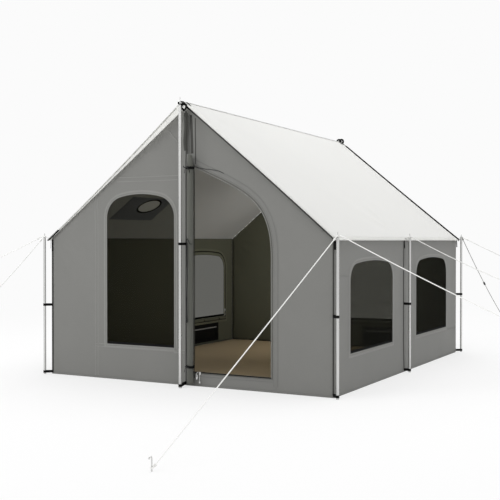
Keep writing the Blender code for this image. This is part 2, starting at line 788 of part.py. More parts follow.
def build_door_ties():
    """A tape round the roll at each tie, closed by a toggle."""
    centre = Vector((DOOR_ROLL_X, door_roll_centre_y()))
    reach = Vector((math.cos(DOOR_TOGGLE_ANGLE), math.sin(DOOR_TOGGLE_ANGLE)))
    far = DOOR_TIE_RADIUS + WEBBING + TOGGLE_RADIUS
    for name, tie in (("lower", DOOR_TIE_HEIGHTS[0]), ("upper", DOOR_TIE_HEIGHTS[1])):
        place = centre + reach * far
        along = (-reach.y, reach.x)
        loops = band_loops(centre, DOOR_TIE_RADIUS, WEBBING, place, along, TIE_HALF_WIDTH)
        tape = plate("tape", loops, DOOR_TIE_HEIGHT, level_frame(0, 0, tie), STRAP)
        low = (place.x, place.y, tie - TOGGLE_LENGTH / 2)
        high = (place.x, place.y, tie + TOGGLE_LENGTH / 2)
        toggle = rod("toggle", low, high, TOGGLE_RADIUS, STRAP, 8)
        sewn(f"door_tie_{name}", [tape, toggle], STRAP)


def build_door_zip():
    opening = door_loop()
    tape = [grown(opening, DOOR_ZIP_MARGIN + DOOR_ZIP_WIDTH), grown(opening, DOOR_ZIP_MARGIN)]
    plate("door_zip_track", tape, TAPE, wall_frame("front", -GAP - TAPE / 2), ZIP_TAPE)
    height = DOOR_SILL - DOOR_ZIP_MARGIN - DOOR_ZIP_WIDTH / 2
    frame = wall_frame("front", -GAP - TAPE - GAP) @ Matrix.Translation((DOOR_SLIDER_X, height, 0))
    slider_body("door_zip_slider", frame)
    hung = frame @ Matrix.Translation((0, 0, SLIDER_DEPTH / 2 + GAP + PULL_RADIUS))
    sewn("door_zip_pull", pull_solids("pull", hung, DOOR_PULL_LENGTH), METAL)


def jack_patch(name, centre, length, height_share, height, material):
    """A sheet on the left slope round a centre (y, share)."""
    def place(along, up):
        return centre[0] + length * (along - 1 / 2), centre[1] + height_share * (up - 1 / 2)

    return roof_patch(name, -1, place, height, JACK_SHEET, material, PATCH_STEPS)


def build_stove_jack():
    """A heat-proof panel under the left slope round the oval hole, and the outer rain flap."""
    under = -GAP - JACK_SHEET
    middle = (JACK_PANEL_Y, JACK_PANEL_SHARE)
    panel = jack_patch("stove_jack_panel", middle, JACK_LENGTH, JACK_HEIGHT_SHARE, under, HEAT_SHEET)
    combine(panel, oval_cutter("panel_pipe_hole"), "DIFFERENCE")
    over = CANVAS + GAP
    middle = (JACK_Y, JACK_SHARE)
    jack_patch("stove_jack_flap", middle, JACK_FLAP_LENGTH, JACK_FLAP_SHARE, over, ROOF)


def pole_profile(radius, height, spike):
    """A hollow pole in two swaged lengths with a plugged top, a spike and an open foot."""
    inner = radius - POLE_WALL
    swage = height * SWAGE_SHARE
    return [
        (0, height + spike),
        (SPIKE_RADIUS / 2, height + spike),
        (SPIKE_RADIUS, height + spike - SPIKE_RADIUS),
        (SPIKE_RADIUS, height),
        (radius - POLE_CHAMFER, height),
        (radius, height - POLE_CHAMFER),
        (radius, swage + SWAGE_LENGTH),
        (radius - SWAGE_DEPTH, swage + SWAGE_LENGTH / 2),
        (radius - SWAGE_DEPTH, swage),
        (radius, swage),
        (radius, 0),
        (inner, 0),
        (inner, height - SPIKE_PLUG),
        (0, height - SPIKE_PLUG),
    ]


def build_poles():
    for name, (place, _, _, radius, height) in pole_table().items():
        spike = UPRIGHT_SPIKE if name.endswith("upright") else EAVE_SPIKE
        title = name if name.endswith("upright") else f"eave_pole_{name}"
        turned(title, pole_profile(radius, height, spike), level_frame(*place, 0), STEEL)


def build_ridge_pole():
    """A tube with a swaged joint at each third, drilled at both ends for the spikes."""
    axis = ridge_axis_height()
    start_y = FRONT_UPRIGHT_Y - RIDGE_POLE_OVERRUN
    end_y = REAR_UPRIGHT_Y + RIDGE_POLE_OVERRUN
    start = Vector((ridge_x(start_y), start_y, axis))
    run = Vector((ridge_x(end_y), end_y, axis)) - start
    length = run.length
    radius = RIDGE_POLE_RADIUS
    inner = radius - POLE_WALL
    outline = [(radius, length)]
    for share in (2 / 3, 1 / 3):
        swage = length * share
        outline += [
            (radius, swage + SWAGE_LENGTH),
            (radius - SWAGE_DEPTH, swage + SWAGE_LENGTH / 2),
            (radius - SWAGE_DEPTH, swage),
            (radius, swage),
        ]
    outline += [(radius, 0), (inner, 0), (inner, length)]
    turn = run.to_track_quat("Z", "Y").to_matrix().to_4x4()
    pole = turned("ridge_pole", outline, Matrix.Translation(start) @ turn, STEEL)
    for name, y in (("front_spike_hole", FRONT_UPRIGHT_Y), ("rear_spike_hole", REAR_UPRIGHT_Y)):
        low = (ridge_x(y), y, axis - radius * 2)
        high = (ridge_x(y), y, axis + radius * 2)
        combine(pole, rod(name, low, high, SPIKE_RADIUS + SPIKE_CLEARANCE, STEEL), "DIFFERENCE")


def strap_block(strap, along, top):
    """Flat webbing down the outer face of the wall, from near the ground to its top."""
    half_along = Vector((*along, 0)) * WALL_STRAP_WIDTH / 2
    half_out = Vector((abs(along[1]), abs(along[0]), 0)) * WEBBING / 2
    low = Vector((*strap, WALL_STRAP_LOW)) - half_along - half_out
    high = Vector((*strap, top)) + half_along + half_out
    return block("strap", low, high, STRAP)


def top_tail(place, strap, height):
    """The strap from a pole's top, bent down under the roof's edge to the wall, seen from its side."""
    reach = Vector(strap) - Vector(place)
    turn = math.atan2(reach.y, reach.x)
    frame = level_frame(*place, 0, turn) @ Matrix.Rotation(math.pi / 2, 4, "X")
    half = WEBBING / 2
    inner = SPIKE_RADIUS + SPIKE_CLEARANCE + GAP
    low = height - TOP_TAIL_DROP
    line = [(inner, height), (TOP_TAIL_OUT, height), (TOP_TAIL_IN, low), (reach.length, low)]
    shift = (0, half, half, 0)
    outline = [(u - s, v - half) for (u, v), s in zip(line, shift)]
    outline += [(u + s, v + half) for (u, v), s in zip(reversed(line), reversed(shift))]
    return plate("tail", [outline], TOP_TAIL_HALF_WIDTH * 2, frame, STRAP)


def build_webbing():
    """Beside each pole: the wall's strap with the bands at foot and waist, and the tail at the top."""
    for name, (place, strap, along, radius, height) in pole_table().items():
        upright = name.endswith("upright")
        top = height - WALL_STRAP_MARGIN if upright else height - TOP_TAIL_DROP + WEBBING
        solids = [strap_block(strap, along, top)]
        hole = radius + TIE_CLEARANCE
        for level in (FOOT_TIE_LOW + TIE_HEIGHT / 2, height * WAIST_TIE_SHARE):
            loops = band_loops(place, hole, WEBBING, strap, along, TIE_HALF_WIDTH)
            solids.append(plate("band", loops, TIE_HEIGHT, level_frame(0, 0, level), STRAP))
        if not upright:
            level = height + GAP + WEBBING / 2
            hole = SPIKE_RADIUS + SPIKE_CLEARANCE
            ring = [
                arc(place, hole + TOP_RING_WIDTH, 0, math.tau, RING_POINTS)[:-1],
                round_hole(place, hole),
            ]
            solids.append(plate("ring", ring, WEBBING, level_frame(0, 0, level), STRAP))
            solids.append(top_tail(place, strap, level))
        webbing = sewn(f"webbing_{name}", solids, STRAP)
        if not upright:
            low = (LEFT - GAP / 2, FRONT - GAP / 2, -GAP)
            high = (RIGHT + GAP / 2, REAR + GAP / 2, EAVE_HEIGHT)
            combine(webbing, block(f"walls_beside_{name}", low, high, WALL), "DIFFERENCE")


def build_peak_straps():
    """At each peak: a ring on the spike, and the roof's edge binding that it is sewn to."""
    for name, end, spike_y in (("front", -1, FRONT_UPRIGHT_Y), ("rear", 1, REAR_UPRIGHT_Y)):
        edge_y = end * (TENT_LENGTH / 2 + RIDGE_OVERHANG + GAP)
        far_y = end * (TENT_LENGTH / 2 + RIDGE_OVERHANG + BINDING_WIDTH)
        middle = ridge_x(spike_y)
        left = roof_point(-1, edge_y, 1 - PEAK_BINDING_SHARE)
        right = roof_point(1, edge_y, 1 - PEAK_BINDING_SHARE)
        outline = [(left.x, left.z), (middle, RIDGE_HEIGHT), (right.x, right.z)]
        outline += [(x, z + BINDING_DEPTH) for x, z in reversed(outline)]
        frame = gable_frame((edge_y + far_y) / 2)
        binding = plate("binding", [outline], abs(far_y - edge_y), frame, STRAP)
        hole = SPIKE_RADIUS + SPIKE_CLEARANCE
        level = ridge_axis_height() + RIDGE_POLE_RADIUS + GAP + WEBBING / 2
        target = (middle, (edge_y + far_y) / 2)
        loops = band_loops(
            (middle, spike_y), hole, TOP_RING_WIDTH, target, (1, 0), TOP_TAIL_HALF_WIDTH / 2
        )
        ring = plate("ring", loops, WEBBING * 2, level_frame(0, 0, level + WEBBING / 2), STRAP)
        sewn(f"peak_strap_{name}", [binding, ring], STRAP)


def rope_path(name):
    """A rope's own line: an eye round the pole's spike, the taut run and a loop at the far end."""
    pole, order, middle, end = GUY_ROUTES[name]
    place = pole_table()[pole][0]
    rest = EAVE_POLE_HEIGHT + GAP + WEBBING + GAP + ROPE_RADIUS
    height = rest + order * (ROPE_DIAMETER + GAP)
    spike = Vector((*place, height))
    middle = Vector(middle)
    end = Vector(end)
    level = Vector((middle.x - spike.x, middle.y - spike.y, 0)).normalized()
    across = Vector((-level.y, level.x, 0))
    points = []
    for index in range(ROPE_TURN_POINTS):
        angle = ROPE_EYE_OPENING + (math.tau - 2 * ROPE_EYE_OPENING) * index / (ROPE_TURN_POINTS - 1)
        points.append(spike + (level * math.cos(angle) - across * math.sin(angle)) * ROPE_EYE_RADIUS)
    start = spike + level * ROPE_EYE_REACH
    bend = middle - (start + end) / 2
    for index in range(ROPE_POINTS):
        t = index / (ROPE_POINTS - 1)
        share = t - 1 / 2
        points.append(start.lerp(end, t) + bend * (1 - 4 * share * share))
    if name == STAKED_ROPE:
        run = level
        turn = across
        radius = stake_eye_radius()
    else:
        run = (points[-1] - points[-2]).normalized()
        turn = across.cross(run)
        radius = ROPE_LOOP_RADIUS
    centre = end + run * (radius + ROPE_DIAMETER)
    for index in range(ROPE_TURN_POINTS):
        angle = ROPE_EYE_OPENING + (math.tau - 2 * ROPE_EYE_OPENING) * index / (ROPE_TURN_POINTS - 1)
        points.append(centre + (turn * math.sin(angle) - run * math.cos(angle)) * radius)
    return points


def stake_eye_radius():
    """The rope's eye draws tight round the stake."""
    step = (math.tau - 2 * ROPE_EYE_OPENING) / (ROPE_TURN_POINTS - 1)
    return (STAKE_DIAMETER / 2 + ROPE_RADIUS + GAP) / math.cos(step / 2)


def build_ropes():
    for name in GUY_ROUTES:
        tube(name, rope_path(name), ROPE_RADIUS, ROPE)


def build_stake():
    """What shows of the stake above the ground: a straight shank bent over at the top."""
    pole, _, middle, end = GUY_ROUTES[STAKED_ROPE]
    place = pole_table()[pole][0]
    level = Vector((middle[0] - place[0], middle[1] - place[1], 0)).normalized()
    foot = Vector((end[0], end[1], 0)) + level * (stake_eye_radius() + ROPE_DIAMETER)
    points = [foot, foot + Vector((0, 0, STAKE_HEIGHT / 2))]
    bend = foot + level * STAKE_HOOK + Vector((0, 0, STAKE_HEIGHT))
    for index in range(7):
        angle = math.pi - math.pi * index / 6
        points.append(bend + (level * math.cos(angle) + Vector((0, 0, math.sin(angle)))) * STAKE_HOOK)
    tube("guy_stake", points, STAKE_DIAMETER / 2, STEEL)


def build_tensioner():
    """A grooved plastic barrel that grips the rope behind the rear right pole."""
    points = rope_path("guy_rope_rear_right_behind")
    index = ROPE_TURN_POINTS + ROPE_POINTS // 2
    place = (points[index - 1] + points[index]) / 2
    turn = (points[index] - points[index - 1]).to_track_quat("Z", "Y").to_matrix().to_4x4()
    bore = ROPE_RADIUS + TENSIONER_CLEARANCE
    half = TENSIONER_LENGTH / 2
    waist = TENSIONER_RADIUS - TENSIONER_GROOVE
    profile = [
        (TENSIONER_RADIUS - POLE_CHAMFER, half),
        (TENSIONER_RADIUS, half - POLE_CHAMFER),
        (TENSIONER_RADIUS, half / 2),
        (waist, half / 3),
        (waist, -half / 3),
        (TENSIONER_RADIUS, -half / 2),
        (TENSIONER_RADIUS, POLE_CHAMFER - half),
        (TENSIONER_RADIUS - POLE_CHAMFER, -half),
        (bore, -half),
        (bore, half),
    ]
    turned("guy_tensioner", profile, Matrix.Translation(place) @ turn, HARD_PLASTIC)


for existing in list(bpy.data.objects):
    bpy.data.objects.remove(existing)

PARTS = make_collection("canvas_wall_tent")
CUTTERS = make_collection("cutters")
CUTTERS.hide_render = True

WALL = make_material("grey_canvas", (0.21, 0.21, 0.20), 0.9)
CANVAS_INSIDE = make_material("olive_canvas", (0.10, 0.10, 0.075), 0.9)
ROOF = make_material("white_roof_cloth", (0.86, 0.86, 0.84), 0.8)
FLOOR = make_material("tan_ground_sheet", (0.24, 0.17, 0.10), 0.6)
SCREEN_CLOTH = make_material("insect_screen", (0.02, 0.02, 0.02), 0.8)
ZIP_TAPE = make_material("zip_tape", (0.08, 0.08, 0.06), 0.8)
STRAP = make_material("black_webbing", (0.012, 0.012, 0.012), 0.8)
HEAT_SHEET = make_material("heat_sheet", (0.16, 0.16, 0.17), 0.7)
STEEL = make_material("pale_steel", (0.62, 0.62, 0.60), 0.4, 0.6)
METAL = make_material("zip_metal", (0.75, 0.75, 0.73), 0.45, 0.3)
ROPE = make_material("white_rope", (0.85, 0.85, 0.82), 0.9)
HARD_PLASTIC = make_material("black_plastic", (0.02, 0.02, 0.02), 0.5)

build_ground_sheet()
build_walls()
build_roof()
build_windows()
build_vents()
build_door_roll()
build_door_ties()
build_door_zip()
build_stove_jack()
build_poles()
build_ridge_pole()
build_webbing()
build_peak_straps()
build_ropes()
build_stake()
build_tensioner()
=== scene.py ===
"""Canvas wall tent as photographed: cloth walls and roof with their seams, hems and sag, screened
windows with rolled covers, a rolled door, webbing, taut guy ropes, and a pale studio round it."""

import math

import bmesh
import bpy
import numpy as np
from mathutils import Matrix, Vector, noise
from mathutils.geometry import delaunay_2d_cdt


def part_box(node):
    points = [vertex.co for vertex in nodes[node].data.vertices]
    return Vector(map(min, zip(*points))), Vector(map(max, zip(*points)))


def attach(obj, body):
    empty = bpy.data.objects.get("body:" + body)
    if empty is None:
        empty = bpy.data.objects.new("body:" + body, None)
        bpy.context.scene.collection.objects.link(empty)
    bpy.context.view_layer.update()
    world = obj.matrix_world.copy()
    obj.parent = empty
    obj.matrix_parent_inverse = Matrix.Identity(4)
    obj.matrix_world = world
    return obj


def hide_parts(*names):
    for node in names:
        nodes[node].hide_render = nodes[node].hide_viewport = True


# The pitched tent, as in the solids
TENT_WIDTH = 3.05
TENT_LENGTH = 3.66
EAVE_HEIGHT = 1.35
RIDGE_HEIGHT = 2.575
PEAK_SHIFT = 0.09
EAVE_OVERHANG = 0.030
CORNER_OVERHANG = 0.030
RIDGE_OVERHANG = 0.140
SLOPE_LENGTH = 1.95
CANVAS = 0.003
GAP = 0.0003
FRONT = -TENT_LENGTH / 2
REAR = TENT_LENGTH / 2
LEFT = -TENT_WIDTH / 2
RIGHT = TENT_WIDTH / 2

# Windows: centre along the wall, width and top
SIDE_WINDOW_WIDTH = 1.09
SIDE_WINDOW_TOP = 1.145
GABLE_WINDOW_WIDTH = 0.767
GABLE_WINDOW_TOP = 1.765
WINDOW_SILL = 0.335
GABLE_SHOULDER = 0.20
SIDE_SHOULDER = 0.16
WINDOW_CROWN = 0.022
WINDOWS = {
    "front": (-0.46, GABLE_WINDOW_WIDTH, GABLE_WINDOW_TOP),
    "rear": (0.46, GABLE_WINDOW_WIDTH, GABLE_WINDOW_TOP),
    "left_rear": (1.05, SIDE_WINDOW_WIDTH, SIDE_WINDOW_TOP),
    "right_front": (-0.935, SIDE_WINDOW_WIDTH, SIDE_WINDOW_TOP),
    "right_rear": (0.88, SIDE_WINDOW_WIDTH, SIDE_WINDOW_TOP),
}
VENT_SILL = 0.075
VENT_HEIGHT = 0.17
VENTS = {"left": (1.05, 0.70), "rear": (0.615, 0.45)}
COVER_ROLL_RADIUS = 0.017
COVER_ROLL_CORE = 0.003
COVER_ROLL_DROP = 0.024
COVER_SHEET = 0.0004
GABLE_COVER_TURNS = 20
SIDE_COVER_TURNS = 11
COVER_TIE_SHARES = (0.16, 0.5, 0.84)

# The doorway and the door rolled up beside it
DOOR_LEFT = 0.13
DOOR_RIGHT = 0.928
DOOR_SILL = 0.13
DOOR_SHOULDER = 1.176
DOOR_TOP = 2.00
DOOR_JAMB_HANDLE = 0.533
DOOR_ARCH_HANDLE_X = 0.513
DOOR_ARCH_HANDLE_Z = 0.24
DOOR_CLOTH_WIDTH = 0.84
DOOR_ROLL_X = 0.125
DOOR_ROLL_RADIUS = 0.0405
DOOR_ROLL_CORE = 0.008
DOOR_ROLL_TURNS = 5
DOOR_ROLL_BOTTOM = 0.03
DOOR_ROLL_TOP = 2.10
DOOR_ROLL_LENGTH = DOOR_ROLL_TOP - DOOR_ROLL_BOTTOM
DOOR_ROLL_OUT = 0.0411
DOOR_SHEET = 0.0015
DOOR_TIE_HEIGHTS = (0.18, 1.985)
DOOR_TIE_RADIUS = 0.0365
DOOR_TIE_REACH = 0.16

# Stove-pipe opening in the left slope
JACK_Y = -0.821
JACK_SHARE = 0.292
JACK_PANEL_Y = -0.88
JACK_PANEL_SHARE = 0.265
JACK_LENGTH = 0.78
JACK_HEIGHT_SHARE = 0.19
JACK_HOLE_LENGTH = 0.35
JACK_HOLE_HEIGHT = 0.19
JACK_FLAP_LENGTH = 0.50
JACK_FLAP_SHARE = 0.15

# Poles and the webbing beside them
EAVE_POLE_RADIUS = 0.0127
UPRIGHT_RADIUS = 0.0145
RIDGE_POLE_RADIUS = 0.0145
EAVE_POLE_HEIGHT = 1.352
CORNER_POLE_OFFSET = 0.05
SIDE_POLE_OFFSET = 0.060
SIDE_POLE_Y = -0.05
UPRIGHT_OFFSET = 0.165
WEBBING = 0.0025
STRAP_SHEET = 0.0014
# Wall straps are real webbing whose dark tone and width also paint the pole's shadow on the wall; the shares
# narrow two of them to a thin shadow line, and the front strap sits where the upright's shadow falls.
WALL_STRAP_WIDTH = 0.02
WALL_STRAP_SHARES = {"front_upright": 0.5, "front_right": 0.6}
WEBBING_FOOT = 0.012
FRONT_STRAP_X = 0.052
PEAK_STRAP_REACHES = ((0.02, 0.11), (0.11, 0.11))
PEAK_LOOP_SIDES = {"front": (0.036,), "rear": (-0.004, -0.038)}
PEAK_LOOP_RISE = {"front": -0.052, "rear": 0.014}
PEAK_LOOP_REACH = {"front": 0.022, "rear": 0.025}
TIE_HEIGHT = 0.024
WAIST_TIE_SHARE = 0.51

# Guy ropes, their eyes and whippings
ROPE_DIAMETER = 0.008
ROPE_EYE_RADIUS = 0.012
ROPE_EYE_REACH = 0.025
ROPE_EYE_OPENING = math.radians(50)
ROPE_EYE_STEPS = 24
STAKE_EYE_CHORDS = 12
ROPE_SMOOTHING = 3
ROPE_LOOP_RADIUS = 0.03
WHIPPING_RADIUS = 0.003
WHIPPING_TURNS = 3
WHIPPING_STEPS = 14
STAKE_DIAMETER = 0.009

# Each rope: its pole, the eye's place on the spike, a point on the way and the far end
GUY_ROUTES = {
    "guy_rope_front_right_ahead": ("front_right", 0, (1.575, -3.250, 0.683), (1.575, -4.590, 0.022)),
    "guy_rope_front_right_side": ("front_right", 1, (2.340, -1.880, 1.008), (3.080, -1.880, 0.675)),
    "guy_rope_middle_right": ("middle_right", 0, (2.120, -0.050, 1.109), (2.650, -0.050, 0.890)),
    "guy_rope_rear_right_side": ("rear_right", 0, (1.920, 1.880, 1.204), (2.250, 1.880, 1.050)),
    "guy_rope_rear_right_behind": ("rear_right", 1, (1.575, 2.980, 0.769), (1.575, 3.980, 0.280)),
    "guy_rope_front_left_side": ("front_left", 1, (-1.870, -1.940, 1.242), (-2.169, -2.000, 1.119)),
    "guy_rope_front_left_ahead": ("front_left", 0, (-1.500, -2.330, 1.086), (-1.4375, -2.705, 0.864)),
}
STAKED_ROPE = "guy_rope_front_right_ahead"
SHADED_ROPE = "guy_rope_rear_right_behind"
ROPE_FITTINGS = {STAKED_ROPE: "guy_stake", SHADED_ROPE: "guy_tensioner"}

# Sheets of cloth: thickness and spacing of points; rolled ones, points round a turn and spacing along it
WALL_SHEET = 0.0022
WALL_STEP = 0.03
ROOF_SHEET = 0.0018
ROOF_STEP = 0.035
PATCH_SHEET = 0.0012
FLOOR_SHEET = 0.002
FLOOR_STEP = 0.05
SCREEN_LIFT = -0.0012
SCREEN_LAP = 0.006
SCREEN_SHEET = 0.0004
SCREEN_STEP = 0.05
ROLL_STEPS = 20
ROLL_STATION = 0.035

# Drapes: how far the walls and the roof bow, wave and fold, and how far a wall may stand out
WALL_SLACK = 0.006
WALL_DRAPE = 0.009
WALL_FOLD = 0.0035
WALL_HEM_WAVE = 0.0025
WALL_CORNER_FOLD = 0.003
WALL_OUTMOST = 0.004
ROOF_SAG = 0.026
ROOF_SAG_WAVE = 0.010
ROOF_DRAPE = 0.012
ROOF_FOLD = 0.0045

# Sewn bands: their thickness, spacing of points and height over or under the cloth
SEAM_SHEET = 0.0009
HEM_SHEET = 0.0010
TAPE_SHEET = 0.0012
PIPING_SHEET = 0.0016
BAND_STEP = 0.03
ON_CLOTH = 0.0002
UNDER_CLOTH = 0.0024
CLOSE_ON_CLOTH = 0.0004

# Directions, names in common and the studio's white
X_AXIS = Vector((1, 0, 0))
Y_AXIS = Vector((0, 1, 0))
Z_AXIS = Vector((0, 0, 1))
ENDS = (("front", -1), ("rear", 1))
SIDES = (("left", -1), ("right", 1))
BACKDROP = 0.965

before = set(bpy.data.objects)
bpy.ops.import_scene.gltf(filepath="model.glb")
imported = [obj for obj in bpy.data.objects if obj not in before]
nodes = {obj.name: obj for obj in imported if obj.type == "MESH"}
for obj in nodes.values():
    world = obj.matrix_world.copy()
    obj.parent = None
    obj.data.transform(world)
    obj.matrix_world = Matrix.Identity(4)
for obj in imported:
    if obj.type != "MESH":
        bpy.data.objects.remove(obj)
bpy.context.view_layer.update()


# Camera

def add_camera():
    lens = bpy.data.cameras.new("camera")
    lens.sensor_width = 36
    lens.lens = 66.52
    lens.clip_end = 200
    camera = bpy.data.objects.new("camera", lens)
    camera.location = (4.583, -8.996, 1.325)
    camera.rotation_euler = (math.radians(89.421), 0, math.radians(28.34))
    bpy.context.scene.collection.objects.link(camera)
    bpy.context.scene.camera = camera


add_camera()


# Materials

def feed(socket, value):
    """Gives a socket a value, or links another node's outlet to it."""
    if isinstance(value, bpy.types.NodeSocket):
        socket.id_data.links.new(value, socket)
    else:
        socket.default_value = value


class Graph:
    """A few short calls for building a shader."""

    def __init__(self, name, kind="materials", shader="Principled BSDF", output="Material Output"):
        self.owner = getattr(bpy.data, kind).new(name)
        self.owner.use_nodes = True
        self.tree = self.owner.node_tree
        self.shader = self.tree.nodes[shader]
        self.output = self.tree.nodes[output]

    def add(self, kind, inputs=None, **settings):
        node = self.tree.nodes.new(kind)
        for name, value in settings.items():
            setattr(node, name, value)
        for socket, value in (inputs or {}).items():
            feed(node.inputs[socket], value)
        return node

    def surface(self, **inputs):
        """Values of the main shader, named with _ for a space."""
        for socket, value in inputs.items():
            feed(self.shader.inputs[socket.replace("_", " ")], value)

    def coordinate(self, kind):
        return self.add("ShaderNodeTexCoord").outputs[kind]

    def uv(self, name):
        return self.add("ShaderNodeUVMap", uv_map=name).outputs["UV"]

    def math(self, operation, *values, clamp=False):
        node = self.add("ShaderNodeMath", dict(enumerate(values)), operation=operation, use_clamp=clamp)
        return node.outputs[0]

    def weigh(self, first, first_share, second, second_share):
        first = self.math("MULTIPLY", first, first_share)
        return self.math("ADD", first, self.math("MULTIPLY", second, second_share))

    def mix(self, share, first, second):
        return self.add("ShaderNodeMix", {0: share, 6: first, 7: second}, data_type="RGBA").outputs[2]

    def noise(self, place, scale, detail=3.0, roughness=0.5):
        inputs = {"Scale": scale, "Detail": detail, "Roughness": roughness, "Vector": place}
        return self.add("ShaderNodeTexNoise", inputs).outputs["Fac"]

    def bands(self, place, scale, direction="X", **inputs):
        inputs.update(Scale=scale, Vector=place)
        node = self.add("ShaderNodeTexWave", inputs, wave_type="BANDS", bands_direction=direction)
        return node.outputs["Fac"]

    def moved(self, place, **inputs):
        return self.add("ShaderNodeMapping", {"Vector": place, **inputs}).outputs["Vector"]

    def bump(self, height, distance, strength, before=None):
        inputs = {"Distance": distance, "Strength": strength, "Height": height}
        if before is not None:
            inputs["Normal"] = before
        return self.add("ShaderNodeBump", inputs).outputs["Normal"]

    def blend(self, share, first, second):
        node = self.add("ShaderNodeMixShader", {0: share, 1: first.outputs[0], 2: second.outputs[0]})
        feed(self.output.inputs["Surface"], node.outputs[0])


def darker(colour, share):
    return (colour[0] * share, colour[1] * share, colour[2] * share, 1)


def fabric(name, colour, roughness=0.92, thread=0.0016, mottle=0.07, crease=0.004, through=0.0,
           stitched=False):
    """Woven cloth: crossing threads, uneven dye, soft creases, and stitch rows on a seam or hem."""
    g = Graph(name)
    flat = g.uv("cloth")
    place = g.coordinate("Object")
    weave = [g.bands(flat, math.tau / 20 / thread, way, Distortion=0.6, Detail=1) for way in "XY"]
    threads = g.math("MULTIPLY", *weave)
    speck = g.noise(place, 160, 2, 0.7)
    tone = g.weigh(g.noise(place, 2.2, 4, 0.6), 0.65, speck, 0.35)
    base = g.mix(tone, darker(colour, 1 - mottle), darker(colour, 1 + mottle))
    base = g.mix(g.math("MULTIPLY", threads, 0.10), base, darker(colour, 0.7))
    height = g.weigh(threads, 0.6, speck, 0.5)
    normal = g.bump(g.noise(place, 7, 5, 0.6), crease, 0.35)
    if stitched:
        split = g.add("ShaderNodeSeparateXYZ", {0: g.uv("seam")})
        from_middle = g.math("ABSOLUTE", g.math("SUBTRACT", split.outputs["Y"], 0.5))
        row = g.math("LESS_THAN", g.math("ABSOLUTE", g.math("SUBTRACT", from_middle, 0.34)), 0.035)
        dash = g.math("LESS_THAN", g.math("FRACT", g.math("MULTIPLY", split.outputs["X"], 220)), 0.62)
        stitch = g.math("MULTIPLY", row, dash)
        base = g.mix(g.math("MULTIPLY", stitch, 0.55), base, darker(colour, 0.55))
        base = g.mix(g.math("MULTIPLY", row, 0.18), base, darker(colour, 0.6))
        normal = g.bump(row, 0.0012, 0.6, normal)
    g.surface(Base_Color=base, Normal=g.bump(height, 0.0003, 0.35, normal), Roughness=roughness,
              Specular_IOR_Level=0.2, Sheen_Weight=0.12, Sheen_Roughness=0.5)
    if through:
        g.blend(through, g.shader, g.add("ShaderNodeBsdfTranslucent", {"Color": base}))
    return g.owner


def screen_cloth(name, open_share):
    """Insect screen: dark threads finer than the eye sees, so it veils what lies behind."""
    g = Graph(name)
    speck = g.noise(g.uv("cloth"), 900, 2, 0.6)
    colour = g.mix(speck, (0.002, 0.002, 0.0015, 1), (0.006, 0.006, 0.004, 1))
    g.surface(Base_Color=colour, Roughness=0.85, Specular_IOR_Level=0.03)
    clear = g.add("ShaderNodeBsdfTransparent", {"Color": (1, 1, 0.96, 1)})
    g.blend(g.math("ADD", g.math("MULTIPLY", speck, 0.04), open_share - 0.02), g.shader, clear)
    return g.owner


def webbing_cloth(name, colour, rib=0.0022):
    """Narrow woven strap with ribs across it."""
    g = Graph(name)
    flat = g.uv("cloth")
    tone = g.mix(g.noise(flat, 500, 2), darker(colour, 0.7), darker(colour, 1.5))
    ribs = g.bump(g.bands(flat, math.tau / 20 / rib), 0.0005, 0.5)
    g.surface(Base_Color=tone, Normal=ribs, Roughness=0.8, Specular_IOR_Level=0.01)
    return g.owner


def hard(name, colour, roughness, metallic=0.0, grain=60.0, wear=0.08, bump=0.00008, streak=None):
    """Painted, moulded or bare hard surface with fine grain, smudges and rubbed places."""
    g = Graph(name)
    place = g.coordinate("Object")
    if streak:
        place = g.moved(place, Scale=streak)
    fine = g.noise(place, grain, 4, 0.6)
    broad = g.noise(place, grain / 14, 3, 0.6)
    tone = g.mix(g.weigh(fine, 0.5, broad, 0.5), darker(colour, 1 - wear), darker(colour, 1 + wear))
    rough = g.math("ADD", g.math("MULTIPLY", broad, 0.2), roughness - 0.1)
    g.surface(Base_Color=tone, Roughness=rough, Normal=g.bump(fine, bump, 0.4), Metallic=metallic,
              Specular_IOR_Level=0.5 if metallic else 0.2)
    return g.owner


def rope_cloth(name, colour):
    """Braided rope: two crossing sets of strands."""
    g = Graph(name)
    flat = g.coordinate("UV")
    strands = []
    for lean in (1, -1):
        turned = g.moved(flat, Rotation=(0, 0, lean * math.radians(38)), Scale=(60, 3, 1))
        strands.append(g.bands(turned, 1.2))
    braid = g.math("MAXIMUM", *strands)
    g.surface(Base_Color=g.mix(braid, darker(colour, 0.80), darker(colour, 1.02)),
              Normal=g.bump(braid, 0.0008, 0.6), Roughness=0.85, Specular_IOR_Level=0.25)
    return g.owner


WALL_GREY = (0.200, 0.200, 0.190)
INSIDE_OLIVE = (0.125, 0.127, 0.088)
WHITE_CLOTH = (0.86, 0.86, 0.84)
# The next white is a lighter copy of the roof's white: painted light for the overhang and the hems.
PAINTED_LIGHT_WHITE = (0.95, 0.95, 0.935)
wall_cloth = fabric("wall_canvas", WALL_GREY)
seam_cloth = fabric("wall_seam", darker(WALL_GREY, 0.95), stitched=True)
welt_cloth = fabric("wall_welt", darker(WALL_GREY, 1.24), stitched=True)
door_cloth = fabric("door_canvas", (0.118, 0.120, 0.106))
vent_bar_cloth = fabric("vent_bar", (0.30, 0.30, 0.29), stitched=True)
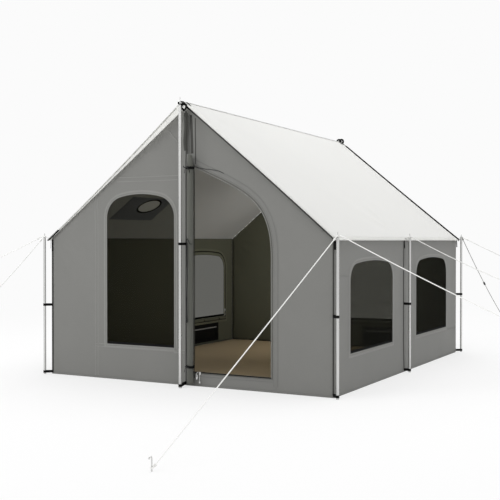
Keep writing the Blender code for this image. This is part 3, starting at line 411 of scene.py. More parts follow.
# Near-black canvas for the peak tab and the gable crease: partly the tab's own colour, partly painted shade.
tab_and_shade_cloth = fabric("folded_canvas_painted_shade", (0.060, 0.060, 0.055))
door_zip_cloth = webbing_cloth("door_zip_tape", (0.115, 0.115, 0.105), 0.0016)
inside_cloth = fabric("inner_canvas", INSIDE_OLIVE)
inside_welt = fabric("inner_welt", darker(INSIDE_OLIVE, 1.35), stitched=True)
inside_seam = fabric("inner_seam", darker(INSIDE_OLIVE, 0.72), stitched=True)
roof_cloth = fabric("roof_canvas", WHITE_CLOTH, 0.8, 0.0012, 0.02, 0.004, 0.22)
# The overhang's canvas: a lighter, more translucent copy of the roof canvas, with painted light.
lit_roof_edge_cloth = fabric("roof_edge_canvas_painted_light", PAINTED_LIGHT_WHITE, 0.8, 0.0012, 0.02, 0.004, 0.60)
# The roof's inner face: a grey copy of the white roof canvas, painted shade for the dim light under the
# roof.
shaded_roof_inside = fabric("roof_inner_face_painted_shade", (0.46, 0.46, 0.445), 0.85, 0.0012, 0.03, 0.004, 0.22)
ridge_seam = fabric("ridge_seam", (0.92, 0.92, 0.90), stitched=True)
# The roof's hems: the lighter white with painted light.
lit_roof_hem_cloth = fabric("roof_hem_painted_light", PAINTED_LIGHT_WHITE, 0.8, 0.0012, 0.02, 0.002, 0.6, True)
heat_cloth = fabric("heat_sheet", (0.215, 0.228, 0.27), 0.7, 0.0009, 0.10)
floor_cloth = fabric("ground_sheet", (0.60, 0.45, 0.26), 0.55, 0.003, 0.12, 0.008)
gable_screen = screen_cloth("gable_screen", 0.57)
side_screen = screen_cloth("side_screen", 0.345)
vent_mesh = screen_cloth("vent_screen", 0.04)
black_webbing = webbing_cloth("black_webbing", (0.009, 0.009, 0.009))
# Dark grey webbing for the wall straps and the strip under the front edge; its tone also paints the shadows
# beside the poles and under the front overhang.
strap_and_shadow_cloth = webbing_cloth("wall_strap_and_painted_shadow", (0.045, 0.045, 0.042))
zip_cloth = webbing_cloth("zip_tape", (0.05, 0.05, 0.043), 0.0016)
cover_zip_cloth = webbing_cloth("cover_zip_tape", (0.012, 0.012, 0.009), 0.0016)
steel = hard("pale_steel", (0.60, 0.60, 0.59), 0.27, 1.0, 90, 0.10, 0.00006, (1, 1, 0.08))
zip_metal = hard("zip_metal", (0.78, 0.78, 0.76), 0.4, 0.2, 300, 0.08)
plastic = hard("black_plastic", (0.018, 0.018, 0.019), 0.5, 0, 200, 0.2)
white_rope = rope_cloth("white_rope", (0.93, 0.93, 0.91))
shaded_rope = rope_cloth("shaded_rope", (0.30, 0.30, 0.29))


# Shapes in common

def mesh_piece(name, drawn, materials, smooth):
    """Makes a drawn mesh a piece of the scene."""
    mesh = bpy.data.meshes.new(name)
    drawn.to_mesh(mesh)
    drawn.free()
    piece = bpy.data.objects.new(name, mesh)
    bpy.context.scene.collection.objects.link(piece)
    for material in materials:
        mesh.materials.append(material)
    mesh.shade_smooth()
    mesh.set_sharp_from_angle(angle=math.radians(smooth))
    return piece


def settle(piece, body="tent"):
    """Gives a piece the body that it rides."""
    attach(piece, body)


def lay_sheet(piece, node, slot, body="tent", **sheet):
    """Hides the solid that a cloth replaces and gives the cloth its body."""
    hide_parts(node)
    settle(piece, body)


def circle(count):
    """Angles spaced evenly round a circle."""
    return [math.tau * index / count for index in range(count)]


def arc(centre, radius, start, end, count):
    points = []
    for index in range(count + 1):
        angle = start + (end - start) * index / count
        points.append((centre[0] + radius * math.cos(angle), centre[1] + radius * math.sin(angle)))
    return points


def rectangle(low_u, low_v, high_u, high_v):
    return [(low_u, low_v), (high_u, low_v), (high_u, high_v), (low_u, high_v)]


def grown(loop, distance):
    """A counter-clockwise outline moved outwards by a distance, with mitred corners."""
    moved = []
    for index, corner in enumerate(loop):
        here = Vector(corner)
        along_in = (here - Vector(loop[index - 1])).normalized()
        along_out = (Vector(loop[(index + 1) % len(loop)]) - here).normalized()
        out_in = Vector((along_in.y, -along_in.x))
        out_out = Vector((along_out.y, -along_out.x))
        middle = (out_in + out_out).normalized()
        moved.append(tuple(here + middle * distance / max(middle.dot(out_in), 0.5)))
    return moved


def spaced(points, step, closed=False):
    """Points along a line at nearly equal steps, its own corners kept."""
    found = []
    pairs = list(zip(points, points[1:]))
    if closed:
        pairs.append((points[-1], points[0]))
    for start, end in pairs:
        start = Vector(start)
        end = Vector(end)
        count = max(1, round((end - start).length / step))
        found += [start.lerp(end, index / count) for index in range(count)]
    if not closed:
        found.append(Vector(points[-1]))
    return found


def smooth_line(points, steps, tension=0.5):
    """A smooth line through every point."""
    found = []
    last = len(points) - 1
    for index in range(last):
        here, there = points[index], points[index + 1]
        lean_in = (there - points[max(index - 1, 0)]) * tension
        lean_out = (points[min(index + 2, last)] - here) * tension
        for step in range(steps):
            t = step / steps
            found.append(
                here * (2 * t**3 - 3 * t**2 + 1) + lean_in * (t**3 - 2 * t**2 + t)
                + there * (3 * t**2 - 2 * t**3) + lean_out * (t**3 - t**2)
            )
    found.append(points[-1])
    return found


def inside(places, loop):
    """Which of the places lie within an outline."""
    x, y = places[:, 0], places[:, 1]
    hit = np.zeros(len(places), bool)
    for (x1, y1), (x2, y2) in zip(loop, loop[1:] + loop[:1]):
        if y1 != y2:
            hit ^= ((y1 > y) != (y2 > y)) & (x < (x2 - x1) * (y - y1) / (y2 - y1) + x1)
    return hit


def clear_of(places, ring, distance):
    """Which of the places are farther than a distance from every point of a ring."""
    clear = np.ones(len(places), bool)
    for x, y in np.array(ring):
        clear &= np.hypot(places[:, 0] - x, places[:, 1] - y) > distance
    return clear


def loop_area(loop):
    total = 0.0
    for (x1, y1), (x2, y2) in zip(loop, loop[1:] + loop[:1]):
        total += x1 * y2 - x2 * y1
    return abs(total) / 2


def cut_area(outer, holes):
    return loop_area(outer) - sum(loop_area(hole) for hole in holes)


def tube_mesh(name, path, radius, material, sides=14):
    """A round cord, bar or ring along a path, its braid following the length."""
    drawn = bmesh.new()
    flat = drawn.loops.layers.uv.new("cloth")
    rings = []
    along = []
    normal = None
    travelled = 0.0
    for index, here in enumerate(path):
        before = path[max(index - 1, 0)]
        run = (path[min(index + 1, len(path) - 1)] - before).normalized()
        if normal is None:
            normal = run.orthogonal().normalized()
        normal = (normal - run * normal.dot(run)).normalized()
        across = run.cross(normal)
        travelled += (here - before).length
        along.append(travelled)
        rays = [normal * math.cos(turn) + across * math.sin(turn) for turn in circle(sides)]
        rings.append([drawn.verts.new(here + ray * radius) for ray in rays])
    for index in range(len(rings) - 1):
        here, there = rings[index], rings[index + 1]
        for side in range(sides):
            after = (side + 1) % sides
            face = drawn.faces.new((here[side], here[after], there[after], there[side]))
            places = ((index, side), (index, side + 1), (index + 1, side + 1), (index + 1, side))
            for loop, (step, turn) in zip(face.loops, places):
                loop[flat].uv = (along[step], turn / sides)
    drawn.faces.new(rings[0][::-1])
    drawn.faces.new(rings[-1])
    return mesh_piece(name, drawn, [material], 60)


# Outlines of the openings and the surfaces that the cloth lies on

def window_opening(name):
    """A window's outline: square sill corners, round shoulders and a top edge bowed up to meet them."""
    centre, width, top = WINDOWS[name]
    radius = GABLE_SHOULDER if name in ("front", "rear") else SIDE_SHOULDER
    reach = width / 2 - radius
    spring = top - WINDOW_CROWN - radius
    rise = radius + WINDOW_CROWN
    bow = (reach * reach + rise * rise - radius * radius) / (2 * WINDOW_CROWN)
    lean = math.atan2(reach, spring - top + bow)
    upright = math.pi / 2
    loop = [(centre - width / 2, WINDOW_SILL), (centre + width / 2, WINDOW_SILL)]
    loop += arc((centre + reach, spring), radius, 0, upright - lean, 10)
    loop += arc((centre, top - bow), bow, upright - lean, upright + lean, 10)[1:-1]
    loop += arc((centre - reach, spring), radius, upright + lean, math.pi, 10)
    return loop


def vent_loop(name):
    centre, width = VENTS[name]
    return rectangle(centre - width / 2, VENT_SILL, centre + width / 2, VENT_SILL + VENT_HEIGHT)


def door_loop():
    """The doorway: an upright hinge edge on the left and one curve from the right jamb to the top."""
    start = Vector((DOOR_RIGHT, DOOR_SHOULDER))
    lift = start + Vector((0, DOOR_JAMB_HANDLE))
    end = Vector((DOOR_LEFT, DOOR_TOP))
    lean = end + Vector((DOOR_ARCH_HANDLE_X, -DOOR_ARCH_HANDLE_Z))
    loop = [(DOOR_LEFT, DOOR_SILL), (DOOR_RIGHT, DOOR_SILL)]
    for index in range(25):
        t = index / 24
        s = 1 - t
        loop.append(tuple(start * s**3 + lift * 3 * s * s * t + lean * 3 * s * t * t + end * t**3))
    return loop


def ridge_x(y):
    return PEAK_SHIFT * (REAR - y) / TENT_LENGTH


def roof_point(side, y, share):
    eave = Vector((side * TENT_WIDTH / 2, y, EAVE_HEIGHT + GAP))
    return eave.lerp(Vector((ridge_x(y), y, RIDGE_HEIGHT)), share)


def slope_normal(side, y):
    rise = roof_point(side, y, 1) - roof_point(side, y, 0)
    along = roof_point(side, REAR, 0.5) - roof_point(side, FRONT, 0.5)
    normal = along.cross(rise)
    return normal.normalized() * math.copysign(1, normal.z)


def ridge_axis_height():
    steepness = (RIDGE_HEIGHT - EAVE_HEIGHT) / (TENT_WIDTH / 2 - ridge_x(FRONT - UPRIGHT_OFFSET))
    return RIDGE_HEIGHT - (RIDGE_POLE_RADIUS + GAP) * math.hypot(1, steepness)


def gable_loop(y):
    """A gable wall's outline, notched at the peak for the ridge pole."""
    notch = RIDGE_POLE_RADIUS + 0.0008
    middle = ridge_x(y)
    rise = RIDGE_HEIGHT - GAP - EAVE_HEIGHT
    right_top = EAVE_HEIGHT + rise * (RIGHT - middle - notch) / (RIGHT - middle)
    left_top = EAVE_HEIGHT + rise * (middle - notch - LEFT) / (middle - LEFT)
    loop = [(LEFT, 0), (RIGHT, 0), (RIGHT, EAVE_HEIGHT), (middle + notch, right_top)]
    loop += arc((middle, ridge_axis_height()), notch, 0, -math.pi, 9)
    loop += [(middle - notch, left_top), (LEFT, EAVE_HEIGHT)]
    return loop


def clamped(value):
    return max(0.0, min(1.0, value))


class Wall:
    """A wall's own plane: places a point (u, v) at a height outwards, on the wall's soft relief."""

    def __init__(self, name, face, sign):
        self.name = name
        self.across = "x" if name in ("front", "rear") else "y"
        self.sign = sign
        self.face = face
        self.out = (Y_AXIS if self.across == "x" else X_AXIS) * sign
        self.openings = [
            (centre - width / 2 - 0.03, centre + width / 2 + 0.03, WINDOW_SILL - 0.06, top + 0.02)
            for window, (centre, width, top) in WINDOWS.items() if window.startswith(name)
        ]
        if name in VENTS:
            centre, width = VENTS[name]
            high = VENT_SILL + VENT_HEIGHT
            self.openings.append((centre - width / 2, centre + width / 2, VENT_SILL, high))
        if name == "front":
            self.openings.append((DOOR_LEFT - 0.05, DOOR_RIGHT + 0.03, DOOR_SILL - 0.03, DOOR_TOP + 0.02))

    def top(self, u):
        if self.across == "y":
            return EAVE_HEIGHT
        middle = ridge_x(self.face)
        reach = (RIGHT - middle) if u > middle else (middle - LEFT)
        return EAVE_HEIGHT + (RIDGE_HEIGHT - EAVE_HEIGHT) * (1 - min(abs(u - middle) / reach, 1))

    def relief(self, u, v):
        """Shallow drapes: nothing at the edges, slack between the poles and folds from the corners."""
        half = TENT_WIDTH / 2 if self.across == "x" else TENT_LENGTH / 2
        edge = clamped((half - abs(u)) / 0.25) * clamped((self.top(u) - v) / 0.3)
        for low_u, high_u, low_v, high_v in self.openings:
            beside = max(low_u - u, u - high_u, low_v - v, v - high_v, 0.0)
            edge *= min(1.0, beside / 0.2)
        foot = clamped(v / 0.3)
        hold = edge * foot
        broad = noise.noise(Vector((u * 0.9, v * 0.7, self.face * 3)))
        fold = noise.noise(Vector((u * 4.5, v * 1.1, self.face * 7 + 4)))
        height = -WALL_SLACK * hold + WALL_DRAPE * broad * hold
        height += WALL_FOLD * fold * (0.3 + 0.7 * foot) * edge
        hem = WALL_HEM_WAVE * math.sin(u * 9 + self.face * 5) * (1 - foot) * min(1.0, v / 0.03)
        for pull in (-half, half):
            away = Vector((u - pull, v - EAVE_HEIGHT))
            angle = math.atan2(away.y, away.x)
            height += (WALL_CORNER_FOLD * math.sin(angle * 14) * math.exp(-away.length / 0.35)
                       * min(1, away.length / 0.12) * edge)
        return min(height + hem * edge, WALL_OUTMOST)

    def place(self, u, v, lift=0.0):
        out = self.sign * (self.relief(u, v) + lift)
        if self.across == "x":
            return Vector((u, self.face + out, v))
        return Vector((self.face + out, u, v))


class Slope:
    """A roof slope: places a point (y, distance up the slope) on its sagging surface."""

    def __init__(self, side):
        self.side = side

    def relief(self, y, share):
        """A sag that the gables and the ridge hold, and folds that run from the poles."""
        held = max(0.0, 1 - (abs(y) / (TENT_LENGTH / 2)) ** 4)
        bow = math.sin(math.pi * clamped(share))
        sag = -ROOF_SAG * bow * held
        sag += ROOF_SAG_WAVE * bow * held * math.cos(math.tau * y / TENT_LENGTH)
        soft = noise.noise(Vector((y * 1.1, share * 2.2, self.side * 5))) * ROOF_DRAPE * bow * held
        for anchor in ((FRONT, 1.0), (REAR, 1.0), (SIDE_POLE_Y, 0.0), (FRONT, 0.0), (REAR, 0.0)):
            away = Vector((y - anchor[0], (share - anchor[1]) * SLOPE_LENGTH))
            angle = math.atan2(away.y, away.x)
            reach = math.exp(-away.length / 0.9) * min(1, away.length / 0.3)
            soft += ROOF_FOLD * math.sin(angle * 9 + anchor[0]) * reach * min(1, bow * 2.5) * held
        return sag + soft

    def place(self, y, up, lift=0.0):
        share = up / SLOPE_LENGTH
        height = self.relief(y, share) + lift
        return roof_point(self.side, y, share) + slope_normal(self.side, y) * height


def lifted(surface, lift):
    return lambda u, v: surface.place(u, v, lift)


def cloth_points(outer, holes, step):
    """The corners of a sheet's triangles: its edges' own points and rows of points between them."""
    loops = [[tuple(point) for point in spaced(loop, step, True)] for loop in [outer] + holes]
    low_u, high_u = min(p[0] for p in outer), max(p[0] for p in outer)
    low_v, high_v = min(p[1] for p in outer), max(p[1] for p in outer)
    rows = round((high_v - low_v) / step)
    columns = round((high_u - low_u) / step)
    u, v = np.meshgrid(np.arange(columns), np.arange(1, rows))
    u = low_u + (high_u - low_u) * (u + 0.5 * (v % 2)) / columns
    v = low_v + (high_v - low_v) * v / rows
    places = np.stack((u.ravel(), v.ravel()), 1)
    keep = inside(places, loops[0])
    for loop in loops[1:]:
        keep &= ~inside(places, loop)
    for loop in loops:
        keep &= clear_of(places, loop, step * 0.6)
    return loops, places[keep]


def cloth(name, outer, holes, place, out, step, materials, thickness, lit_faces=None):
    """A sheet cut to an outline with openings and laid on a surface; its second side may differ, and the
    faces that the last argument picks take the third and fourth materials, which on the roof are a lighter
    copy of the canvas with painted light.
    """
    loops, between_edges = cloth_points(outer, holes, step)
    points = []
    faces = []
    for loop in loops:
        faces.append(list(range(len(points), len(points) + len(loop))))
        points += [Vector(point) for point in loop]
    points += [Vector(point) for point in between_edges]
    made = delaunay_2d_cdt(points, [], faces, 1, 1e-6)
    found, triangles = made[0], made[2]
    drawn = bmesh.new()
    flat_uv = drawn.loops.layers.uv.new("cloth")
    corners = [drawn.verts.new(place(p[0], p[1])) for p in found]
    where = dict(zip(corners, found))
    middles = np.array([sum((found[i] for i in triangle), Vector((0, 0))) / 3 for triangle in triangles])
    dropped = np.zeros(len(middles), bool)
    for hole in loops[1:]:
        dropped |= inside(middles, hole)
    for triangle, drop in zip(triangles, dropped):
        if drop:
            continue
        face = drawn.faces.new([corners[i] for i in triangle])
        face.normal_update()
        if face.normal.dot(out) < 0:
            face.normal_flip()
        if lit_faces and lit_faces(sum((where[v] for v in face.verts), Vector((0, 0))) / 3):
            face.material_index = 2
        for loop in face.loops:
            loop[flat_uv].uv = where[loop.vert]
    bmesh.ops.delete(drawn, geom=[v for v in drawn.verts if not v.link_faces], context="VERTS")
    piece = mesh_piece(name, drawn, materials, 60)
    thick = piece.modifiers.new("thickness", "SOLIDIFY")
    thick.thickness = thickness
    thick.offset = -1
    if len(materials) > 1:
        thick.material_offset = 1
        thick.material_offset_rim = 0
    return piece


class Strips:
    """Bands sewn on cloth, or lengths of webbing, gathered into one piece."""

    PROFILE = ((-0.5, 0.0), (-0.5, 0.6), (-0.46, 1.0), (0.46, 1.0), (0.5, 0.6), (0.5, 0.0))

    def __init__(self):
        self.drawn = bmesh.new()
        self.flat = self.drawn.loops.layers.uv.new("cloth")
        self.seam = self.drawn.loops.layers.uv.new("seam")
        self.length = 0.0

    def band(self, middles, acrosses, width, thickness, outs, closed=False):
        """A flat band with softly turned edges along a line of places."""
        count = len(middles)
        acrosses = [acrosses] * count if isinstance(acrosses, Vector) else acrosses
        outs = [outs] * count if isinstance(outs, Vector) else outs
        travelled = [0.0]
        nexts = middles[1:] + (middles[:1] if closed else [])
        for before, after in zip(middles, nexts):
            travelled.append(travelled[-1] + (after - before).length)
        self.length += travelled[-1]
        rings = []
        for middle, across, out in zip(middles, acrosses, outs):
            ring = [middle + across * width * a + out * thickness * h for a, h in self.PROFILE]
            rings.append([self.drawn.verts.new(point) for point in ring])
        for index in range(count if closed else count - 1):
            here, there = rings[index], rings[(index + 1) % count]
            start, end = travelled[index], travelled[index + 1]
            for side in range(len(self.PROFILE)):
                after = (side + 1) % len(self.PROFILE)
                face = self.drawn.faces.new((here[side], here[after], there[after], there[side]))
                values = ((start, side), (start, after), (end, after), (end, side))
                for loop, (along, corner) in zip(face.loops, values):
                    loop[self.flat].uv = (along, self.PROFILE[corner][0] * width)
                    loop[self.seam].uv = (along, self.PROFILE[corner][0] + 0.5)
        if not closed:
            self.drawn.faces.new(rings[0])
            self.drawn.faces.new(list(reversed(rings[-1])))

    def on(self, surface, line, width, thickness, lift, step=BAND_STEP, closed=False, face=1):
        """A band along a line of (u, v) places on a wall or slope; face -1 is its inner side."""
        line = spaced(line, step, closed)
        place = lifted(surface, face * lift)
        middles, acrosses, outs = [], [], []
        last = len(line) - 1
        for index, (u, v) in enumerate(line):
            before = line[index - 1] if (closed or index) else line[0]
            after = line[(index + 1) % len(line)] if (closed or index < last) else line[-1]
            run = (Vector(after) - Vector(before)).normalized()
            sharp = 1.0
            if closed or 0 < index < last:
                first = (Vector(line[index]) - Vector(before)).normalized()
                sharp = 1 / max(0.6, abs(first.dot(run)))
            here = place(u, v)
            side = place(u - run.y * 0.01, v + run.x * 0.01) - here
            forward = place(u + run.x * 0.01, v + run.y * 0.01) - here
            out = forward.cross(side).normalized()
            if out.dot(surface.place(u, v, 1.0) - surface.place(u, v, 0.0)) * face < 0:
                out = -out
            middles.append(here)
            acrosses.append(side.normalized() * sharp)
            outs.append(out)
        self.band(middles, acrosses, width, thickness, outs, closed)

    def sew(self, name, material, node=None):
        """Makes the bands one piece with its material, and hides the solid that it replaces if one is named.
        """
        bmesh.ops.recalc_face_normals(self.drawn, faces=self.drawn.faces)
        piece = mesh_piece(name, self.drawn, [material], 50)
        if node:
            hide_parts(node)
        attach(piece, "tent")


def sewn(name, material, declared, surface, bands, rests_on=None, node=None, slot=None, **layout):
    """A strip on a wall or slope, of bands that each have a line, a width, a thickness and a lift."""
    strips = Strips()
    for band in bands:
        strips.on(surface, *band, **layout)
    strips.sew(name, material, node)


# Walls, roof and ground sheet

WALLS = {"front": Wall("front", FRONT, -1), "rear": Wall("rear", REAR, 1)}
WALLS.update(left=Wall("left", LEFT, -1), right=Wall("right", RIGHT, 1))
SLOPES = {"left": Slope(-1), "right": Slope(1)}


def build_walls():
    side_panel = rectangle(FRONT, 0, REAR, EAVE_HEIGHT)
    gable_size = (TENT_WIDTH, RIDGE_HEIGHT)
    side_size = (TENT_LENGTH, EAVE_HEIGHT)
    cuts = {
        "front": (gable_loop(FRONT), [window_opening("front"), door_loop()], gable_size),
        "rear": (gable_loop(REAR), [window_opening("rear"), vent_loop("rear")], gable_size),
        "left": (side_panel, [window_opening("left_rear"), vent_loop("left")], side_size),
        "right": (side_panel, [window_opening("right_front"), window_opening("right_rear")], side_size),
    }
    for name, (outer, holes, size) in cuts.items():
        wall = WALLS[name]
        faces = [wall_cloth, inside_cloth]
        piece = cloth(f"{name}_wall", outer, holes, wall.place, wall.out, WALL_STEP, faces, WALL_SHEET)
        lay_sheet(piece, f"wall_{name}", "grey_canvas", flat=size, held="stretched",
                  rests_on=["floor_sheet", "ridge_pole"], area=cut_area(outer, holes))


def build_wall_seams():
    """The flat-felled seams that join the lengths of canvas, and the hems at foot and eave."""
    gable_foot = ([(-1.52, 0.012), (1.52, 0.012)], 0.024)
    side_foot = ([(-1.81, 0.012), (1.81, 0.012)], 0.024)
    side_middle = ([(0.0, 0.03), (0.0, 1.33)], 0.014)
    seams = {
        "front": [([(0.975, 0.03), (0.975, 1.30)], 0.014), gable_foot],
        "rear": [gable_foot],
        "right": [
            side_foot, ([(-1.81, 1.02), (-1.50, 1.02)], 0.014),
            ([(1.46, 0.30), (1.81, 0.30)], 0.014), side_middle,
        ],
        "left": [side_foot, side_middle, ([(-1.81, 1.02), (0.48, 1.02)], 0.014)],
    }
    for name, lines in seams.items():
        bands = [(line, width, SEAM_SHEET, ON_CLOTH) for line, width in lines]
        sewn(f"{name}_wall_seams", seam_cloth, 0.016, WALLS[name], bands)
    upright = ([(-0.985, 0.02), (-0.985, 1.73)], (0.034, 0))
    pairs = {
        "front": [
            upright, ([(-0.72, 1.925), (-0.02, 1.925)], (0, -0.040)),
            ([(-0.985, 0.332), (-0.85, 0.332)], (0, -0.026)), ([(-0.08, 0.318), (0.04, 0.318)], (0, -0.026)),
        ],
        "rear": [upright, ([(-0.74, 1.925), (0.76, 1.925)], (0, -0.040))],
    }
    for name, lines in pairs.items():
        bands = []
        for line, shift in lines:
            for side in (0, 1):
                moved = [(u + shift[0] * side, v + shift[1] * side) for u, v in line]
                bands.append((moved, 0.010, SEAM_SHEET, ON_CLOTH))
        sewn(f"{name}_wall_felled_seams", welt_cloth, 0.010, WALLS[name], bands)


def slope_edge(end, count=24):
    """The roof's front or rear edge on one slope, from the eave up: it stands out most at the peak."""
    low = -EAVE_OVERHANG / (TENT_WIDTH / 2)
    line = []
    for index in range(count + 1):
        share = low + (1 - GAP / SLOPE_LENGTH - low) * index / count
        out = CORNER_OVERHANG + (RIDGE_OVERHANG - CORNER_OVERHANG) * max(share, 0) ** 2
        line.append((end * (TENT_LENGTH / 2 + out), share * SLOPE_LENGTH))
    return line


def jack_hole(margin=0.0):
    middle = JACK_SHARE * SLOPE_LENGTH
    reach_y = JACK_HOLE_LENGTH / 2 + margin
    reach_up = JACK_HOLE_HEIGHT / 2 + margin
    angles = circle(36)
    return [(JACK_Y + reach_y * math.cos(turn), middle + reach_up * math.sin(turn)) for turn in angles]


def patch_loop(y, centre_share, length, share):
    middle = centre_share * SLOPE_LENGTH
    half = share * SLOPE_LENGTH / 2
    return rectangle(y - length / 2, middle - half, y + length / 2, middle + half)


def lit_overhang(place):
    """Whether a place on a slope lies past the walls: there both faces of the roof get the lighter canvas
    with painted light.
    """
    return abs(place.x) > TENT_LENGTH / 2 - 0.004 or place.y < 0


def build_roof():
    outer = slope_edge(1) + slope_edge(-1)[::-1]
    size = (TENT_LENGTH + 2 * RIDGE_OVERHANG, SLOPE_LENGTH + 0.04)
    # Past the walls both faces take the lighter canvas with painted light.
    faces = [roof_cloth, shaded_roof_inside, lit_roof_edge_cloth, lit_roof_edge_cloth]
    for name, slope in SLOPES.items():
        holes = [jack_hole()] if name == "left" else []
        place = lifted(slope, CANVAS)
        out = slope_normal(slope.side, 0)
        piece = cloth(f"{name}_roof", outer, holes, place, out, ROOF_STEP, faces, ROOF_SHEET, lit_overhang)
        lay_sheet(piece, f"roof_panel_{name}", "roof_cloth", flat=size, held="stretched",
                  rests_on=["ridge_pole"], area=cut_area(outer, holes))


def build_roof_trim():
    """The stitched hems of the eave and the sloping edges, in a lighter white with painted light, the
    bindings of the sloping edges, a dark strip under the front edge that paints the overhang's shadow on the
    gable, and the ridge's cap seam.
    """
    hem_middle = -EAVE_OVERHANG / (TENT_WIDTH / 2) * SLOPE_LENGTH + 0.026
    for name, slope in SLOPES.items():
        hem = Strips()
        eave = [(FRONT - 0.028, hem_middle), (REAR + 0.028, hem_middle)]
        hem.on(slope, eave, 0.050, HEM_SHEET, CANVAS + 0.0001, 0.04)
        for end in (-1, 1):
            edge = [(y - end * 0.012, up) for y, up in slope_edge(end)[:-1]]
            hem.on(slope, edge, 0.022, HEM_SHEET, CANVAS + 0.0001, 0.05)
            hem.on(slope, edge, 0.022, HEM_SHEET, ON_CLOTH, 0.05, face=-1)
        hem.sew(f"{name}_roof_hem_painted_light", lit_roof_hem_cloth)
    binding = Strips()
    edge = [(y - 0.014, up) for y, up in slope_edge(1)[:-1]]
    for name in ("right", "left"):
        binding.on(SLOPES[name], edge, 0.034, TAPE_SHEET, CANVAS + 0.0012, 0.05)
    for slope in SLOPES.values():
        places = [slope.place(y + 0.015, up, CANVAS / 2) for y, up in edge]
        normals = [slope_normal(slope.side, y) for y, up in edge]
        binding.band(places, normals, 0.026, STRAP_SHEET, Y_AXIS)
    binding.sew("rear_edge_binding", black_webbing)
    # A dark strip tucked under the right slope's front edge: painted shadow of the overhang on the gable
    # wall.
    piping = Strips()
    edge = slope_edge(-1)[:-1]
    places = [SLOPES["right"].place(y - 0.0006, up, -0.0055) for y, up in edge]
    piping.band(places, [slope_normal(1, y) for y, up in edge], 0.013, TAPE_SHEET, -Y_AXIS)
    piping.sew("front_edge_painted_shadow", strap_and_shadow_cloth)
    cap = Strips()
    level = RIDGE_HEIGHT + CANVAS + 0.001
    line = [Vector((ridge_x(y), y, level)) for y in np.linspace(FRONT - 0.03, REAR + 0.03, 60)]
    cap.band(line, X_AXIS, 0.014, STRAP_SHEET, Z_AXIS)
    cap.sew("ridge_cap_seam", ridge_seam)


def build_stove_jack():
    """The heat-proof panel under the left slope with its bound oval, and the rain flap above."""
    slope = SLOPES["left"]
    out = slope_normal(-1, 0)
    outer = patch_loop(JACK_PANEL_Y, JACK_PANEL_SHARE, JACK_LENGTH, JACK_HEIGHT_SHARE)
    hole = jack_hole(0.004)
    under, over = lifted(slope, -0.0006), lifted(slope, CANVAS + 0.0022)
    panel = cloth("heat_panel", outer, [hole], under, out, WALL_STEP, [heat_cloth], PATCH_SHEET)
    size = (JACK_LENGTH, JACK_HEIGHT_SHARE * SLOPE_LENGTH)
    lay_sheet(panel, "stove_jack_panel", "heat_sheet", flat=size, held="stretched", rests_on=["left_roof"],
              area=cut_area(outer, [hole]))
    outer = patch_loop(JACK_Y, JACK_SHARE, JACK_FLAP_LENGTH, JACK_FLAP_SHARE)
    flap = cloth("rain_flap", outer, [], over, out, WALL_STEP, [roof_cloth], PATCH_SHEET)
    size = (JACK_FLAP_LENGTH, JACK_FLAP_SHARE * SLOPE_LENGTH)
    lay_sheet(flap, "stove_jack_flap", "roof_cloth", "stove_jack_flap", flat=size, held="laid",
              rests_on=["left_roof"])
    binding = [(jack_hole(0.010), 0.020, STRAP_SHEET, 0.0020)]
    sewn("pipe_hole_binding", black_webbing, 0.020, slope, binding, "heat_panel",
         step=0.012, closed=True, face=-1)
    line = patch_loop(JACK_PANEL_Y, JACK_PANEL_SHARE, JACK_LENGTH - 0.02, JACK_HEIGHT_SHARE - 0.01)
    hem = [(line, 0.018, TAPE_SHEET, 0.0020)]
    sewn("heat_panel_hem", heat_cloth, 0.018, slope, hem, "heat_panel", closed=True, face=-1)


def build_floor():
    low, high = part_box("floor_sheet")

    def place(x, y):
        edge = min(1.0, min(x - low.x, high.x - x, y - low.y, high.y - y) / 0.15)
        soft = noise.noise(Vector((x * 1.6, y * 1.6, 9.0))) + 0.5 * noise.noise(Vector((x * 4, y * 5, 2.0)))
        return Vector((x, y, 0.0026 + 0.005 * max(0.0, soft + 0.2) * edge))

    loop = rectangle(low.x, low.y, high.x, high.y)
    piece = cloth("ground_sheet", loop, [], place, Z_AXIS, FLOOR_STEP, [floor_cloth], FLOOR_SHEET)
    lay_sheet(piece, "floor_sheet", "ground_sheet", flat=(high.x - low.x, high.y - low.y), held="laid")


# Windows, vents and their rolled covers

